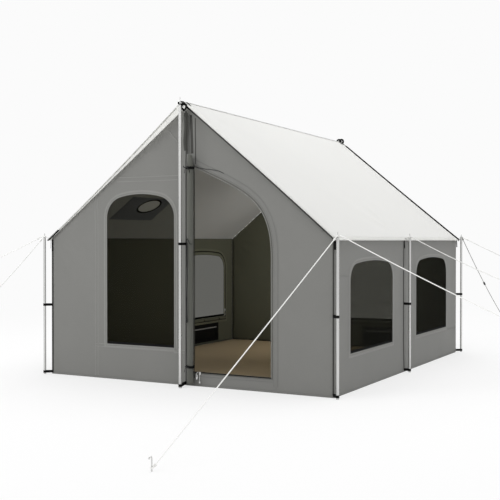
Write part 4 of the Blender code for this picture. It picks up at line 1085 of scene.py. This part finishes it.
def spiral_roll(name, start, along, length, rounds, core, radius, material, squeeze, sheet,
                first=0.0, crumple=0.05, folds=0.9, flutes=0.0):
    """A sheet rolled on itself: a spiral drawn along a line and drawn in where it is tied."""
    side = Z_AXIS if abs(along.z) < 0.5 else X_AXIS
    up = along.cross(side).normalized()
    stations = max(8, round(length / ROLL_STATION))
    count = rounds * ROLL_STEPS
    drawn = bmesh.new()
    flat = drawn.loops.layers.uv.new("cloth")
    rows = []
    for station in range(stations + 1):
        share = station / stations
        base = start + along * length * share
        inner, outer = [], []
        for index in range(count + 1):
            angle = first + math.tau * (index / ROLL_STEPS)
            place = Vector((math.cos(angle) * folds, math.sin(angle) * folds, share * length * 3))
            soft = noise.noise(place)
            distance = core + (radius - core) * index / count
            distance *= 1 - crumple * (1 + soft) - flutes * (0.5 + 0.5 * math.cos(9 * angle + 3 * soft))
            distance *= squeeze(share * length)
            ray = side * math.cos(angle) + up * math.sin(angle)
            outer.append(drawn.verts.new(base + ray * distance))
            inner.append(drawn.verts.new(base + ray * (distance - sheet)))
        rows.append((outer, inner))
    travelled = [core * math.tau * index / ROLL_STEPS * 2 for index in range(count + 1)]

    def quad(corners, places):
        face = drawn.faces.new(corners)
        for loop, place in zip(face.loops, places):
            loop[flat].uv = place

    for row in range(stations):
        (outer, inner), (outer_next, inner_next) = rows[row], rows[row + 1]
        low = length * row / stations
        high = length * (row + 1) / stations
        for index in range(count):
            after = index + 1
            places = rectangle(travelled[index], low, travelled[after], high)
            quad((outer[index], outer[after], outer_next[after], outer_next[index]), places)
            quad((inner[index], inner_next[index], inner_next[after], inner[after]), places)
        for index in (0, count):
            places = ((0, low), (0, high), (0.001, high), (0.001, low))
            quad((outer[index], outer_next[index], inner_next[index], inner[index]), places)
    for outer, inner in (rows[0], rows[-1]):
        for index in range(count):
            after = index + 1
            places = ((0, 0), (0, 0.001), (0.01, 0.001), (0.01, 0))
            quad((outer[index], inner[index], inner[after], outer[after]), places)
    bmesh.ops.recalc_face_normals(drawn, faces=drawn.faces)
    return mesh_piece(name, drawn, [material], 50)


def build_screen(name, wall, loop, material, node, **sheet):
    """Insect screen behind an opening, with a lap all round."""
    place = lifted(wall, SCREEN_LIFT)
    edge = grown(loop, SCREEN_LAP)
    screen = cloth(name, edge, [], place, wall.out, SCREEN_STEP, [material], SCREEN_SHEET)
    lay_sheet(screen, node, "insect_screen", held="stretched", rests_on=[f"{wall.name}_wall"], **sheet)


def build_windows():
    for name, (centre, width, top) in WINDOWS.items():
        wall = WALLS[name.split("_")[0]]
        opening = window_opening(name)
        material = gable_screen if wall.across == "x" else side_screen
        area = loop_area(grown(opening, SCREEN_LAP))
        build_screen(f"{name}_screen", wall, opening, material, f"window_screen_{name}",
                     flat=(width + 0.02, top - WINDOW_SILL + 0.02), area=area)
        build_window_trim(name, wall, opening, centre, width)
        build_cover(name, wall, centre, width, top)


def build_window_trim(name, wall, opening, centre, width):
    """A double-stitched welt outside, the zip's tape inside and the black band at the sill."""
    welt = [
        (grown(opening, 0.005), 0.012, PIPING_SHEET, ON_CLOTH),
        (grown(opening, 0.026), 0.022, SEAM_SHEET, ON_CLOTH),
    ]
    sewn(f"{name}_welt", welt_cloth, 0.022, wall, welt, closed=True)
    for kind, distance, size, material in (
        ("inner_welt", 0.020, 0.032, inside_welt),
        ("cover_zip", 0.043, 0.014, cover_zip_cloth),
        ("zip_flap", 0.064, 0.028, inside_welt),
    ):
        bands = [(grown(opening, distance), size, TAPE_SHEET, UNDER_CLOTH)]
        sewn(f"{name}_{kind}", material, size, wall, bands, closed=True, face=-1)
    low = WINDOW_SILL + 0.012
    line = [(centre - width / 2 + 0.004, low), (centre + width / 2 - 0.004, low)]
    sewn(f"{name}_sill_tape", black_webbing, 0.024, wall, [(line, 0.024, TAPE_SHEET, -0.0008)], step=0.04)


def build_cover(name, wall, centre, width, top):
    """The window's canvas cover, rolled down to the sill inside and held by three tapes."""
    gable = wall.across == "x"
    along = X_AXIS if gable else Y_AXIS
    rounds = GABLE_COVER_TURNS if gable else SIDE_COVER_TURNS
    start = centre - width / 2
    within = wall.face - wall.sign * (CANVAS + GAP + COVER_ROLL_RADIUS)
    height = WINDOW_SILL - COVER_ROLL_DROP
    origin = Vector((start, within, height) if gable else (within, start, height))
    ties = [width * share for share in COVER_TIE_SHARES]

    def squeeze(run):
        return 1 - 0.13 * sum(math.exp(-((run - tie) / 0.06) ** 2) for tie in ties)

    radius = COVER_ROLL_RADIUS * 0.97
    roll = spiral_roll(f"{name}_cover", origin, along, width, rounds, COVER_ROLL_CORE, radius, inside_cloth,
                       squeeze, COVER_SHEET)
    tall = top - WINDOW_SILL
    lay_sheet(roll, f"window_cover_{name}", "olive_canvas", flat=(width, tall), held="folded",
              rests_on=[f"{wall.name}_wall"], area=width * tall * 0.94)
    tapes = Strips()
    side = along.cross(Z_AXIS)
    radius = COVER_ROLL_RADIUS * 0.87
    outs = [side * math.cos(angle) + Z_AXIS * math.sin(angle) for angle in circle(20)]
    for tie in ties:
        middle = origin + along * tie
        tapes.band([middle + ray * radius for ray in outs], along, 0.012, 0.0008, outs, True)
    tapes.sew(f"{name}_cover_tapes", black_webbing)


def build_vents():
    for name, (centre, width) in VENTS.items():
        wall = WALLS[name]
        loop = vent_loop(name)
        build_screen(f"{name}_vent_screen", wall, loop, vent_mesh, f"vent_screen_{name}",
                     flat=(width + 0.012, VENT_HEIGHT + 0.012))
        border = [(grown(loop, 0.022), 0.048, HEM_SHEET, UNDER_CLOTH)]
        sewn(f"{name}_vent_border", black_webbing, 0.048, wall, border, closed=True, face=-1)
        level = VENT_SILL + VENT_HEIGHT * 0.74
        bar = [([(centre - width / 2, level), (centre + width / 2, level)], 0.016, STRAP_SHEET, 0.0022)]
        sewn(f"{name}_vent_bar", vent_bar_cloth, 0.016, wall, bar, face=-1)
        trim = Strips()
        trim.on(wall, grown(loop, 0.055), 0.016, STRAP_SHEET, UNDER_CLOTH, closed=True, face=-1)
        trim.on(wall, grown(loop, 0.010), 0.020, TAPE_SHEET, ON_CLOTH, closed=True)
        trim.sew(f"{name}_vent_welt", inside_seam)


# The rolled door and what hangs beside it

def door_squeeze(run):
    """How far the rolled door is drawn in at a height above its lower end."""
    ties = [tie - DOOR_ROLL_BOTTOM for tie in DOOR_TIE_HEIGHTS]
    gathered = clamped((run - ties[-1]) / (DOOR_ROLL_LENGTH - ties[-1]))
    drawn = sum(0.05 * math.exp(-((run - tie) / DOOR_TIE_REACH) ** 2) for tie in ties)
    drawn += sum(0.10 * math.exp(-((run - tie) / 0.03) ** 2) for tie in ties)
    return (0.97 - drawn) * (1 - 0.42 * gathered)


def build_door():
    foot = Vector((DOOR_ROLL_X, FRONT - DOOR_ROLL_OUT, DOOR_ROLL_BOTTOM))
    roll = spiral_roll("rolled_door", foot, Z_AXIS, DOOR_ROLL_LENGTH, DOOR_ROLL_TURNS, DOOR_ROLL_CORE,
                       DOOR_ROLL_RADIUS, door_cloth, door_squeeze, DOOR_SHEET,
                       first=math.radians(200), crumple=0.06, folds=2.0, flutes=0.10)
    lay_sheet(roll, "door_roll", "grey_canvas", flat=(DOOR_CLOTH_WIDTH, DOOR_ROLL_LENGTH), held="folded",
              rests_on=["front_wall"])
    turn = math.radians(14)
    out = Vector((math.cos(turn), math.sin(turn), 0))
    line = []
    for index in range(57):
        run = 0.05 + (DOOR_ROLL_LENGTH - 0.16) * index / 56
        reach = DOOR_ROLL_RADIUS * door_squeeze(run) + 0.0004
        line.append(Vector((foot.x, foot.y, DOOR_ROLL_BOTTOM + run)) + out * reach)
    edge = Strips()
    edge.band(line, Vector((-out.y, out.x, 0)), 0.020, STRAP_SHEET, out)
    edge.sew("rolled_door_zip", zip_cloth)


def build_door_trim():
    """The zip round the opening with its piping and welts, and the zip and binding of the sill."""
    wall = WALLS["front"]
    opening = door_loop()
    track = [(grown(opening, 0.010), 0.012, 0.0013, CLOSE_ON_CLOTH)]
    sewn("door_zip", door_zip_cloth, 0.012, wall, track, node="door_zip_track", slot="zip_tape",
         step=0.02, closed=True)
    piping = [(grown(opening, 0.0005), 0.006, PIPING_SHEET, CLOSE_ON_CLOTH)]
    sewn("door_piping", welt_cloth, 0.010, wall, piping, step=0.02, closed=True)
    line = [(DOOR_RIGHT + 0.045, 0.05)] + grown(opening, 0.045)[2:]
    sewn("door_storm_welt", seam_cloth, 0.054, wall, [(line, 0.054, HEM_SHEET, 0.0003)])
    inner = [(grown(opening, 0.016), 0.028, HEM_SHEET, 0.0026)]
    sewn("door_inner_welt", inside_seam, 0.028, wall, inner, closed=True, face=-1)
    line = [(DOOR_LEFT, DOOR_SILL - 0.003), (DOOR_RIGHT, DOOR_SILL - 0.003)]
    sewn("door_sill_zip", black_webbing, 0.010, wall, [(line, 0.010, PIPING_SHEET, 0.0010)])
    line = [(DOOR_LEFT, DOOR_SILL - 0.030), (DOOR_RIGHT + 0.015, DOOR_SILL - 0.030)]
    sewn("door_sill_tape", seam_cloth, 0.026, wall, [(line, 0.026, SEAM_SHEET, 0.0003)])


def ring_outs(path):
    """The level direction outwards at each place of a closed path."""
    outs = []
    for index in range(len(path)):
        run = (path[(index + 1) % len(path)] - path[index - 1]).normalized()
        outs.append(Vector((run.y, -run.x, 0)))
    return outs


def build_door_ties():
    """A black tape round the roll at each tie, knotted with its ends hanging beside a toggle."""
    centre = Vector((DOOR_ROLL_X, FRONT - DOOR_ROLL_OUT))
    ends = ((-0.022, 0.050), (0.022, 0.046), (-0.030, -0.018), (0.034, -0.014))
    for name, level, tails in zip(("lower", "upper"), DOOR_TIE_HEIGHTS, (ends[:1], ends)):
        tape = Strips()
        path = []
        for angle in circle(28):
            place = centre + Vector((math.cos(angle), math.sin(angle))) * DOOR_TIE_RADIUS
            path.append(Vector((place.x, min(place.y, FRONT - 0.0045), level + 0.002 * math.sin(angle * 2))))
        tape.band(path, Z_AXIS, 0.022, 0.0022, ring_outs(path), True)
        knot = Vector((centre.x - 0.010, centre.y - DOOR_TIE_RADIUS - 0.003, level))
        for lean, drop in tails:
            bend = knot + Vector((lean, -0.006, -drop * 0.3))
            tail = smooth_line([knot, bend, knot + Vector((lean * 1.3, -0.001, -drop))], 5)
            tape.band(tail, Vector((0.5, 0, 0.8)), 0.009, PIPING_SHEET, -Y_AXIS)
        tape.sew(f"door_tie_{name}_tape", black_webbing,
                 f"door_tie_{name}")
        path = [knot + Vector((-0.018, -0.005, 0.004)), knot + Vector((0.018, -0.005, -0.003))]
        settle(tube_mesh(f"door_toggle_{name}", path, 0.0055, plastic, 12))


def lay_cord(pieces, slot, path, body="tent", **cord):
    """Gives a cord's pieces their body; the pieces after the first are the knots and toggles on it."""
    for piece in pieces:
        settle(piece, body)


def build_tie_cord():
    """The loose end of the upper tie's cord, lying on the wall over the doorway."""
    line = (
        (0.166, 0.006), (0.205, -0.002), (0.251, -0.012), (0.320, -0.020), (0.398, -0.036), (0.452, -0.058),
    )
    path = smooth_line([WALLS["front"].place(u, DOOR_TIE_HEIGHTS[1] + rise, 0.0045) for u, rise in line], 5)
    cord = tube_mesh("upper_tie_cord", path, 0.0022, plastic, 8)
    lay_cord([cord], "black_plastic", path, diameter=0.0044, far_end="bare", lay="loose")


def build_pull_cord():
    """A looped white cord on the door's slider, its knot hanging beside the pull."""
    front = FRONT - 0.020
    low = DOOR_SILL - 0.058
    line = (
        (0.197, DOOR_SILL + 0.002), (0.184, DOOR_SILL - 0.004), (0.175, DOOR_SILL - 0.022),
        (0.174, low + 0.010), (0.179, low), (0.186, low + 0.006), (0.187, low + 0.022), (0.183, low + 0.034),
    )
    path = smooth_line([Vector((x, front, z)) for x, z in line], 5)
    cord = tube_mesh("door_pull_cord", path, 0.0024, white_rope, 8)
    ends = [Vector((0.1765, front, low + 0.016)), Vector((0.1800, front, low - 0.008))]
    knot = tube_mesh("door_pull_knot", ends, 0.0058, white_rope, 10)
    lay_cord([cord, knot], "white_rope", path, "door_slider", diameter=0.0048, far_end="knot",
             lay="hanging", with_pieces=[knot])


def build_hanging_cord():
    """The thin cord loop with its toggle that hangs beside the rolled door."""
    front = FRONT - DOOR_ROLL_OUT - DOOR_ROLL_RADIUS - 0.0025
    top, low = 1.305, 0.60
    left, right = 0.106, 0.119
    middle = (left + right) / 2
    reach = (right - left) / 2
    hitch = (
        (0.158, 0.020, -0.010), (0.143, 0.006, -0.008), (0.128, 0.003, 0.020),
        (0.115, 0.003, 0.036), (0.108, 0.003, 0.022),
    )
    points = [Vector((x, front + out, top + rise)) for x, out, rise in hitch]
    for index in range(9):
        t = index / 8
        x = left + 0.004 * math.sin(t * 9)
        points.append(Vector((x, front + 0.006 - 0.004 * math.sin(t * math.pi), top + (low - top) * t)))
    for index in range(1, 6):
        angle = math.pi + math.pi * index / 6
        x = middle + reach * math.cos(angle)
        points.append(Vector((x, front + 0.004, low + reach * math.sin(angle))))
    for index in range(9):
        t = index / 8
        x = right - 0.003 * math.sin(t * 7)
        points.append(Vector((x, front - 0.002 * math.sin(t * math.pi), low + (top - low) * t)))
    path = smooth_line(points, 4)
    cord = tube_mesh("hanging_cord", path, 0.0030, plastic, 8)
    ends = [Vector((middle, front - 0.003, low - 0.018)), Vector((middle, front - 0.003, low + 0.016))]
    toggle = tube_mesh("hanging_cord_toggle", ends, 0.008, plastic, 12)
    lay_cord([cord, toggle], "black_plastic", path, diameter=0.006, far_end="object", lay="hanging",
             with_pieces=[toggle])


# Webbing beside the poles, and straps, loops and folds at the peaks and corners

def pole_table():
    """Each pole: its place, the middle of its wall strap, the wall's direction, radius and height."""
    into = GAP + WEBBING / 2
    size = (EAVE_POLE_RADIUS, EAVE_POLE_HEIGHT)
    table = {}
    for side_name, side in SIDES:
        x = side * (TENT_WIDTH / 2 + CORNER_POLE_OFFSET)
        strap_x = side * (TENT_WIDTH / 2 - WALL_STRAP_WIDTH / 2)
        for end_name, end in ENDS:
            y = end * (TENT_LENGTH / 2 + CORNER_POLE_OFFSET)
            strap_y = end * (TENT_LENGTH / 2 + into)
            table[f"{end_name}_{side_name}"] = ((x, y), (strap_x, strap_y), end_name, *size)
        x = side * (TENT_WIDTH / 2 + SIDE_POLE_OFFSET)
        strap_x = side * (TENT_WIDTH / 2 + into)
        table[f"middle_{side_name}"] = ((x, SIDE_POLE_Y), (strap_x, SIDE_POLE_Y), side_name, *size)
    height = ridge_axis_height() - RIDGE_POLE_RADIUS - GAP
    for (end_name, end), strap_x in zip(ENDS, (FRONT_STRAP_X, ridge_x(REAR))):
        y = end * (TENT_LENGTH / 2 + UPRIGHT_OFFSET)
        strap = (strap_x, end * (TENT_LENGTH / 2 + into))
        table[f"{end_name}_upright"] = ((ridge_x(y), y), strap, end_name, UPRIGHT_RADIUS, height)
    return table


POLES = pole_table()


def tie_path(place, strap, radius, level):
    """Round the far side of the pole and back to the wall's strap."""
    place = Vector(place)
    strap = Vector(strap)
    reach = strap - place
    turn = math.atan2(reach.y, reach.x)
    aside = Vector((-reach.y, reach.x)).normalized() * 0.004
    path = [strap + aside]
    for index in range(13):
        angle = turn + math.pi / 2 + math.pi * index / 12
        path.append(place + Vector((math.cos(angle), math.sin(angle))) * radius)
    path.append(strap - aside)
    path = spaced([tuple(point) for point in path], 0.01, True)
    return [Vector((point.x, point.y, level)) for point in path]


def build_webbing():
    for name, (place, strap, wall_name, radius, height) in POLES.items():
        upright = name.endswith("upright")
        wall = WALLS[wall_name]
        u = strap[0] if wall.across == "x" else strap[1]
        top = height - 0.03 if upright else EAVE_HEIGHT - 0.02
        # The strap's dark colour and width also paint the pole's shadow on the wall.
        width = WALL_STRAP_WIDTH * WALL_STRAP_SHARES.get(name, 1)
        line = [(u, WEBBING_FOOT), (u, top)]
        sewn(f"{name}_wall_strap_and_painted_shadow", strap_and_shadow_cloth, width, wall, [(line, width, STRAP_SHEET, CLOSE_ON_CLOTH)],
             slot="black_webbing")
        webbing = Strips()
        for level in (WEBBING_FOOT + TIE_HEIGHT / 2, height * WAIST_TIE_SHARE):
            path = tie_path(place, strap, radius + 0.0006, level)
            webbing.band(path, Z_AXIS, TIE_HEIGHT, STRAP_SHEET, ring_outs(path), True)
        webbing.sew(f"{name}_webbing", black_webbing,
                    f"webbing_{name}")
        if not upright:
            build_top_tail(name, *place, height)


def build_top_tail(name, x, y, height):
    """Webbing from the pole's top, under the rope's eye, bent down to the roof's corner."""
    corner_x = math.copysign(TENT_WIDTH / 2 + 0.008, x)
    corner_y = math.copysign(TENT_LENGTH / 2 + 0.008, y)
    anchor = Vector((corner_x, corner_y, EAVE_HEIGHT - 0.012))
    if name.startswith("middle"):
        anchor.x = math.copysign(TENT_WIDTH / 2 + 0.006, x)
        anchor.y = y
    top = Vector((x, y, height + 0.0016))
    inward = Vector((anchor.x - top.x, anchor.y - top.y, 0)).normalized()
    line = [top - inward * 0.010, top, top + inward * (EAVE_POLE_RADIUS - 0.002)]
    line.append(line[-1].lerp(anchor, 0.5) + Vector((0, 0, 0.004)))
    line += [anchor, anchor - Vector((0, 0, 0.09))]
    path = smooth_line(line, 6)
    across = Vector((-inward.y, inward.x, 0))
    outs = []
    for index in range(len(path)):
        run = path[min(index + 1, len(path) - 1)] - path[max(index - 1, 0)]
        outs.append(run.cross(across).normalized() * (-1 if run.cross(across).z < 0 else 1))
    tail = Strips()
    tail.band(path, across, 0.02, STRAP_SHEET, outs)
    tail.sew(f"{name}_top_tail", black_webbing)


def build_peak_straps():
    for (name, end), reaches in zip(ENDS, PEAK_STRAP_REACHES):
        y = end * (TENT_LENGTH / 2 + RIDGE_OVERHANG + 0.0045)
        left, right = (
            [roof_point(side, y, 1 - reach * index / 6) for index in range(7)]
            for side, reach in zip((-1, 1), reaches)
        )
        line = left[::-1] + right[1:]
        acrosses = []
        for index in range(len(line)):
            run = line[min(index + 1, len(line) - 1)] - line[max(index - 1, 0)]
            acrosses.append(Vector((-run.z, 0, run.x)).normalized())
        strap = Strips()
        strap.band([point + Z_AXIS * 0.001 for point in line], acrosses, 0.012, PIPING_SHEET, Y_AXIS * end)
        strap.sew(f"{name}_peak_strap", black_webbing, f"peak_strap_{name}")


def build_peak_loops():
    """At each peak: webbing over the ridge, a hanging loop and the grommet that it holds."""
    for name, end in ENDS:
        loop = Strips()
        tip = end * (TENT_LENGTH / 2 + RIDGE_OVERHANG)
        for back in (0.022, 0.088):
            y = tip - end * back
            normals = [slope_normal(side, y) for side in (-1, 1)]
            left, right = (
                [roof_point(side, y, 1 - 0.028 * index / 5) + normal * 0.006 for index in range(6)]
                for side, normal in zip((-1, 1), normals)
            )
            outs = normals[:1] * 6 + normals[1:] * 6
            loop.band(left[::-1] + right, Y_AXIS, 0.022, PIPING_SHEET, outs)
        reach = PEAK_LOOP_REACH[name]
        for side in PEAK_LOOP_SIDES[name]:
            middle = Vector((ridge_x(tip) + side, tip + end * 0.012, RIDGE_HEIGHT + PEAK_LOOP_RISE[name]))
            ring = []
            outs = []
            for angle in circle(32):
                ray = Vector((math.cos(angle), 0, math.sin(angle)))
                wave = 0.004 * math.sin(angle * 2)
                ring.append(middle + Vector((ray.x * reach, wave, ray.z * reach * 1.2)))
                outs.append(ray)
            loop.band(ring, Y_AXIS, 0.024, 0.0030, outs, True)
            loop.band(ring, outs, reach * 0.85, PIPING_SHEET, -Y_AXIS, True)
        loop.sew(f"{name}_peak_loop", black_webbing)
        ring = []
        for index in range(25):
            angle = math.tau * index / 24
            ring.append(middle + Vector((math.cos(angle) * 0.0115, -0.003, math.sin(angle) * 0.0115)))
        settle(tube_mesh(f"{name}_grommet", ring, 0.0036, zip_metal, 10))


def build_gable_folds():
    """Cloth beside the upright: a dark tab hung from the peak that also paints its shadow, dark strips that
    paint the shade of a crease, and a short pleat in a lighter colour that paints its highlight.
    """
    wall = WALLS["front"]
    tab = Strips()
    top = RIDGE_HEIGHT - 0.085
    for shift, low, width, out in ((0.058, 2.145, 0.026, 0.022), (0.075, 2.115, 0.022, 0.016)):
        line = []
        for i in range(11):
            x = shift + 0.006 * math.sin(i * 0.7)
            line.append(Vector((x, FRONT - out - 0.004 * math.sin(i * 0.9), top + (low - top) * i / 10)))
        tab.band(line, X_AXIS, width, 0.0024, -Y_AXIS)
    tab.sew("peak_tab_and_painted_shadow", tab_and_shade_cloth)
    # Dark strips on the wall: painted shade of a crease.
    crease = [
        ([(0.156, 2.02), (0.150, 2.24), (0.152, 2.44)], 0.010, 0.0020, CLOSE_ON_CLOTH),
        ([(0.118, 2.12), (0.112, 2.26), (0.106, 2.47)], 0.022, 0.0050, CLOSE_ON_CLOTH),
    ]
    sewn("gable_crease_painted_shade", tab_and_shade_cloth, 0.018, wall, crease)
    # A lighter strip on the wall canvas: painted highlight on a fold.
    pleat_highlight = [([(-0.132, 2.335), (-0.045, 2.235)], 0.012, 0.0030, CLOSE_ON_CLOTH)]
    sewn("gable_pleat_painted_highlight", welt_cloth, 0.012, wall, pleat_highlight, step=0.02)


def build_corner_straps():
    """Webbing up the roof's sloping edge at the left corners, and a tab down the corner of the walls."""
    for side_name, side in SIDES:
        for end_name, end in ENDS:
            if (side_name, end_name) == ("right", "front"):
                continue
            strap = Strips()
            if side_name == "left":
                slope = SLOPES["left"]
                edge = [(y - end * 0.010, up) for y, up in slope_edge(end, 60) if up < 0.14]
                strap.on(slope, edge, 0.024, STRAP_SHEET, CANVAS + 0.0014, 0.02)
                strap.on(slope, edge, 0.024, TAPE_SHEET, 0.0012, 0.02, face=-1)
            x = side * (TENT_WIDTH / 2 - 0.010)
            strap.on(WALLS[end_name], [(x, 1.22), (x, 1.335)], 0.020, STRAP_SHEET, 0.0022, 0.02)
            strap.sew(f"{end_name}_{side_name}_corner_strap", black_webbing)


# Guy ropes

def stake_eye_radius():
    step = (math.tau - 2 * ROPE_EYE_OPENING) / STAKE_EYE_CHORDS
    return (STAKE_DIAMETER / 2 + ROPE_DIAMETER / 2 + GAP) / math.cos(step / 2)


def rope_line(name):
    """A rope's eye round the spike, its taut run and the loop at its far end."""
    pole, order, middle, end = GUY_ROUTES[name]
    place = POLES[pole][0]
    rest = EAVE_POLE_HEIGHT + GAP + WEBBING + GAP + ROPE_DIAMETER / 2
    spike = Vector((*place, rest + order * (ROPE_DIAMETER + GAP)))
    middle, end = Vector(middle), Vector(end)
    level = Vector((middle.x - spike.x, middle.y - spike.y, 0)).normalized()
    across = Vector((-level.y, level.x, 0))
    sweep = math.tau - 2 * ROPE_EYE_OPENING
    angles = [ROPE_EYE_OPENING + sweep * index / ROPE_EYE_STEPS for index in range(ROPE_EYE_STEPS + 1)]
    rays = [level * math.cos(angle) - across * math.sin(angle) for angle in angles]
    points = [spike + ray * ROPE_EYE_RADIUS for ray in rays]
    start = spike + level * ROPE_EYE_REACH
    bend = middle - (start + end) / 2
    run_count = max(8, round((end - start).length / 0.05))
    for index in range(run_count):
        t = index / (run_count - 1)
        points.append(start.lerp(end, t) + bend * (1 - 4 * (t - 0.5) ** 2))
    if name == STAKED_ROPE:
        run, turn, radius = level, across, stake_eye_radius()
    else:
        run = (points[-1] - points[-2]).normalized()
        turn, radius = across.cross(run), ROPE_LOOP_RADIUS
    centre = end + run * (radius + ROPE_DIAMETER)
    loop_start = len(points)
    points += [centre + (turn * math.sin(angle) - run * math.cos(angle)) * radius for angle in angles]
    return smooth_line(points, ROPE_SMOOTHING), loop_start


def whipping(name, path, index, material):
    """Turns of the rope's own end, wound round it to close an eye."""
    here = path[index]
    run = (path[index + 1] - path[index - 1]).normalized()
    normal = run.orthogonal().normalized()
    across = run.cross(normal)
    reach = ROPE_DIAMETER / 2 + WHIPPING_RADIUS * 0.9
    last = WHIPPING_TURNS * WHIPPING_STEPS
    points = []
    for step in range(last + 1):
        angle = math.tau * step / WHIPPING_STEPS
        shift = (step / last - 0.5) * WHIPPING_TURNS * WHIPPING_RADIUS * 2.1
        points.append(here + run * shift + (normal * math.cos(angle) + across * math.sin(angle)) * reach)
    return tube_mesh(name, points, WHIPPING_RADIUS, material, 8)


def build_ropes():
    for name in GUY_ROUTES:
        path, loop_start = rope_line(name)
        braid = shaded_rope if name == SHADED_ROPE else white_rope
        rope = tube_mesh(name.replace("guy_rope", "rope"), path, ROPE_DIAMETER / 2, braid)
        near = whipping(f"{rope.name}_near_whipping", path, ROPE_EYE_STEPS * ROPE_SMOOTHING + 6, braid)
        far = whipping(f"{rope.name}_far_whipping", path, loop_start * ROPE_SMOOTHING - 4, braid)
        fittings = [nodes[ROPE_FITTINGS[name]]] if name in ROPE_FITTINGS else []
        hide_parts(name)
        lay_cord([rope, near, far], "white_rope", path, diameter=ROPE_DIAMETER, far_end="knot", lay="taut",
                 with_pieces=[near, far] + fittings)


def finish_solids():
    """The hard parts keep their solids and get their finish."""
    kinds = (
        (("ridge_pole", "front_upright", "rear_upright", "eave_pole", "guy_stake"), steel),
        (("zip_slider", "door_zip_slider", "door_zip_pull"), zip_metal),
        (("guy_tensioner",), plastic),
    )
    for node, piece in nodes.items():
        for starts, material in kinds:
            if node.startswith(starts):
                piece.data.materials.clear()
                piece.data.materials.append(material)


# Studio

def build_backdrop():
    """Plain white all round; the camera sees one even tone and the tent a softer light."""
    g = Graph("studio", "worlds", "Background", "World Output")
    bpy.context.scene.world = g.owner
    g.surface(Color=(1, 1, 1, 1), Strength=0.80)
    seen = g.add("ShaderNodeBackground", {"Color": (1, 1, 1, 1), "Strength": BACKDROP})
    rays = g.add("ShaderNodeLightPath").outputs
    seen_by = g.math("MAXIMUM", rays["Is Camera Ray"], rays["Is Glossy Ray"])
    g.blend(g.math("MAXIMUM", seen_by, rays["Is Transmission Ray"]), g.shader, seen)


def build_studio_floor():
    """A pale floor that keeps a soft shadow near the tent and fades into the backdrop."""
    bpy.ops.mesh.primitive_plane_add(size=80, location=(0, 0, -0.0005))
    floor = bpy.context.object
    floor.name = "studio_floor"
    g = Graph("studio_floor")
    diffuse = g.add("ShaderNodeBsdfDiffuse", {"Color": (0.93, 0.93, 0.93, 1)})
    glow = g.add("ShaderNodeEmission", {"Color": (BACKDROP, BACKDROP, BACKDROP, 1)})
    far = g.add("ShaderNodeVectorMath", {0: g.coordinate("Object")}, operation="LENGTH").outputs["Value"]
    fade = g.math("MULTIPLY", g.math("SUBTRACT", far, 3.5), 0.16, clamp=True)
    share = g.math("ADD", g.math("MULTIPLY", fade, 0.35), 0.65)
    seen_by = g.add("ShaderNodeLightPath").outputs["Is Camera Ray"]
    g.blend(g.math("MULTIPLY", share, seen_by), diffuse, glow)
    floor.data.materials.append(g.owner)


def build_lamps():
    """Four lamps round the tent and two glows inside it, all hidden from the camera."""
    centre = (0, 0, 1.0)
    for name, place, power, size, target in (
        ("front_left", (-5.0, -9.0, 6.0), 260, 4.0, centre),
        ("right", (6.5, -9.5, 5.0), 44, 3.0, centre),
        ("behind", (-3.0, 9.0, 7.0), 150, 5.0, centre),
        ("above", (1.3, 0.5, 9.0), 268, 6.0, centre),
        ("floor_glow", (0.2, 0.3, 0.08), 6, 2.2, None),
        ("rear_glow", (0.6, 0.9, 1.30), 9, 0.5, (-0.8, 2.2, 0.9)),
    ):
        lamp = bpy.data.lights.new(name, "AREA")
        lamp.energy = power
        lamp.size = size
        holder = bpy.data.objects.new(name, lamp)
        holder.location = place
        holder.rotation_euler = (math.pi, 0, 0)
        if target:
            holder.rotation_euler = (Vector(target) - Vector(place)).to_track_quat("-Z", "Y").to_euler()
        holder.visible_camera = False
        bpy.context.scene.collection.objects.link(holder)


build_walls()
build_wall_seams()
build_roof()
build_roof_trim()
build_stove_jack()
build_floor()
build_windows()
build_vents()
build_door()
build_webbing()
build_door_trim()
build_door_ties()
build_tie_cord()
build_pull_cord()
build_hanging_cord()
build_peak_straps()
build_peak_loops()
build_gable_folds()
build_corner_straps()
build_ropes()
finish_solids()
build_backdrop()
build_studio_floor()
build_lamps()
bpy.context.scene.view_settings.view_transform = "Standard"
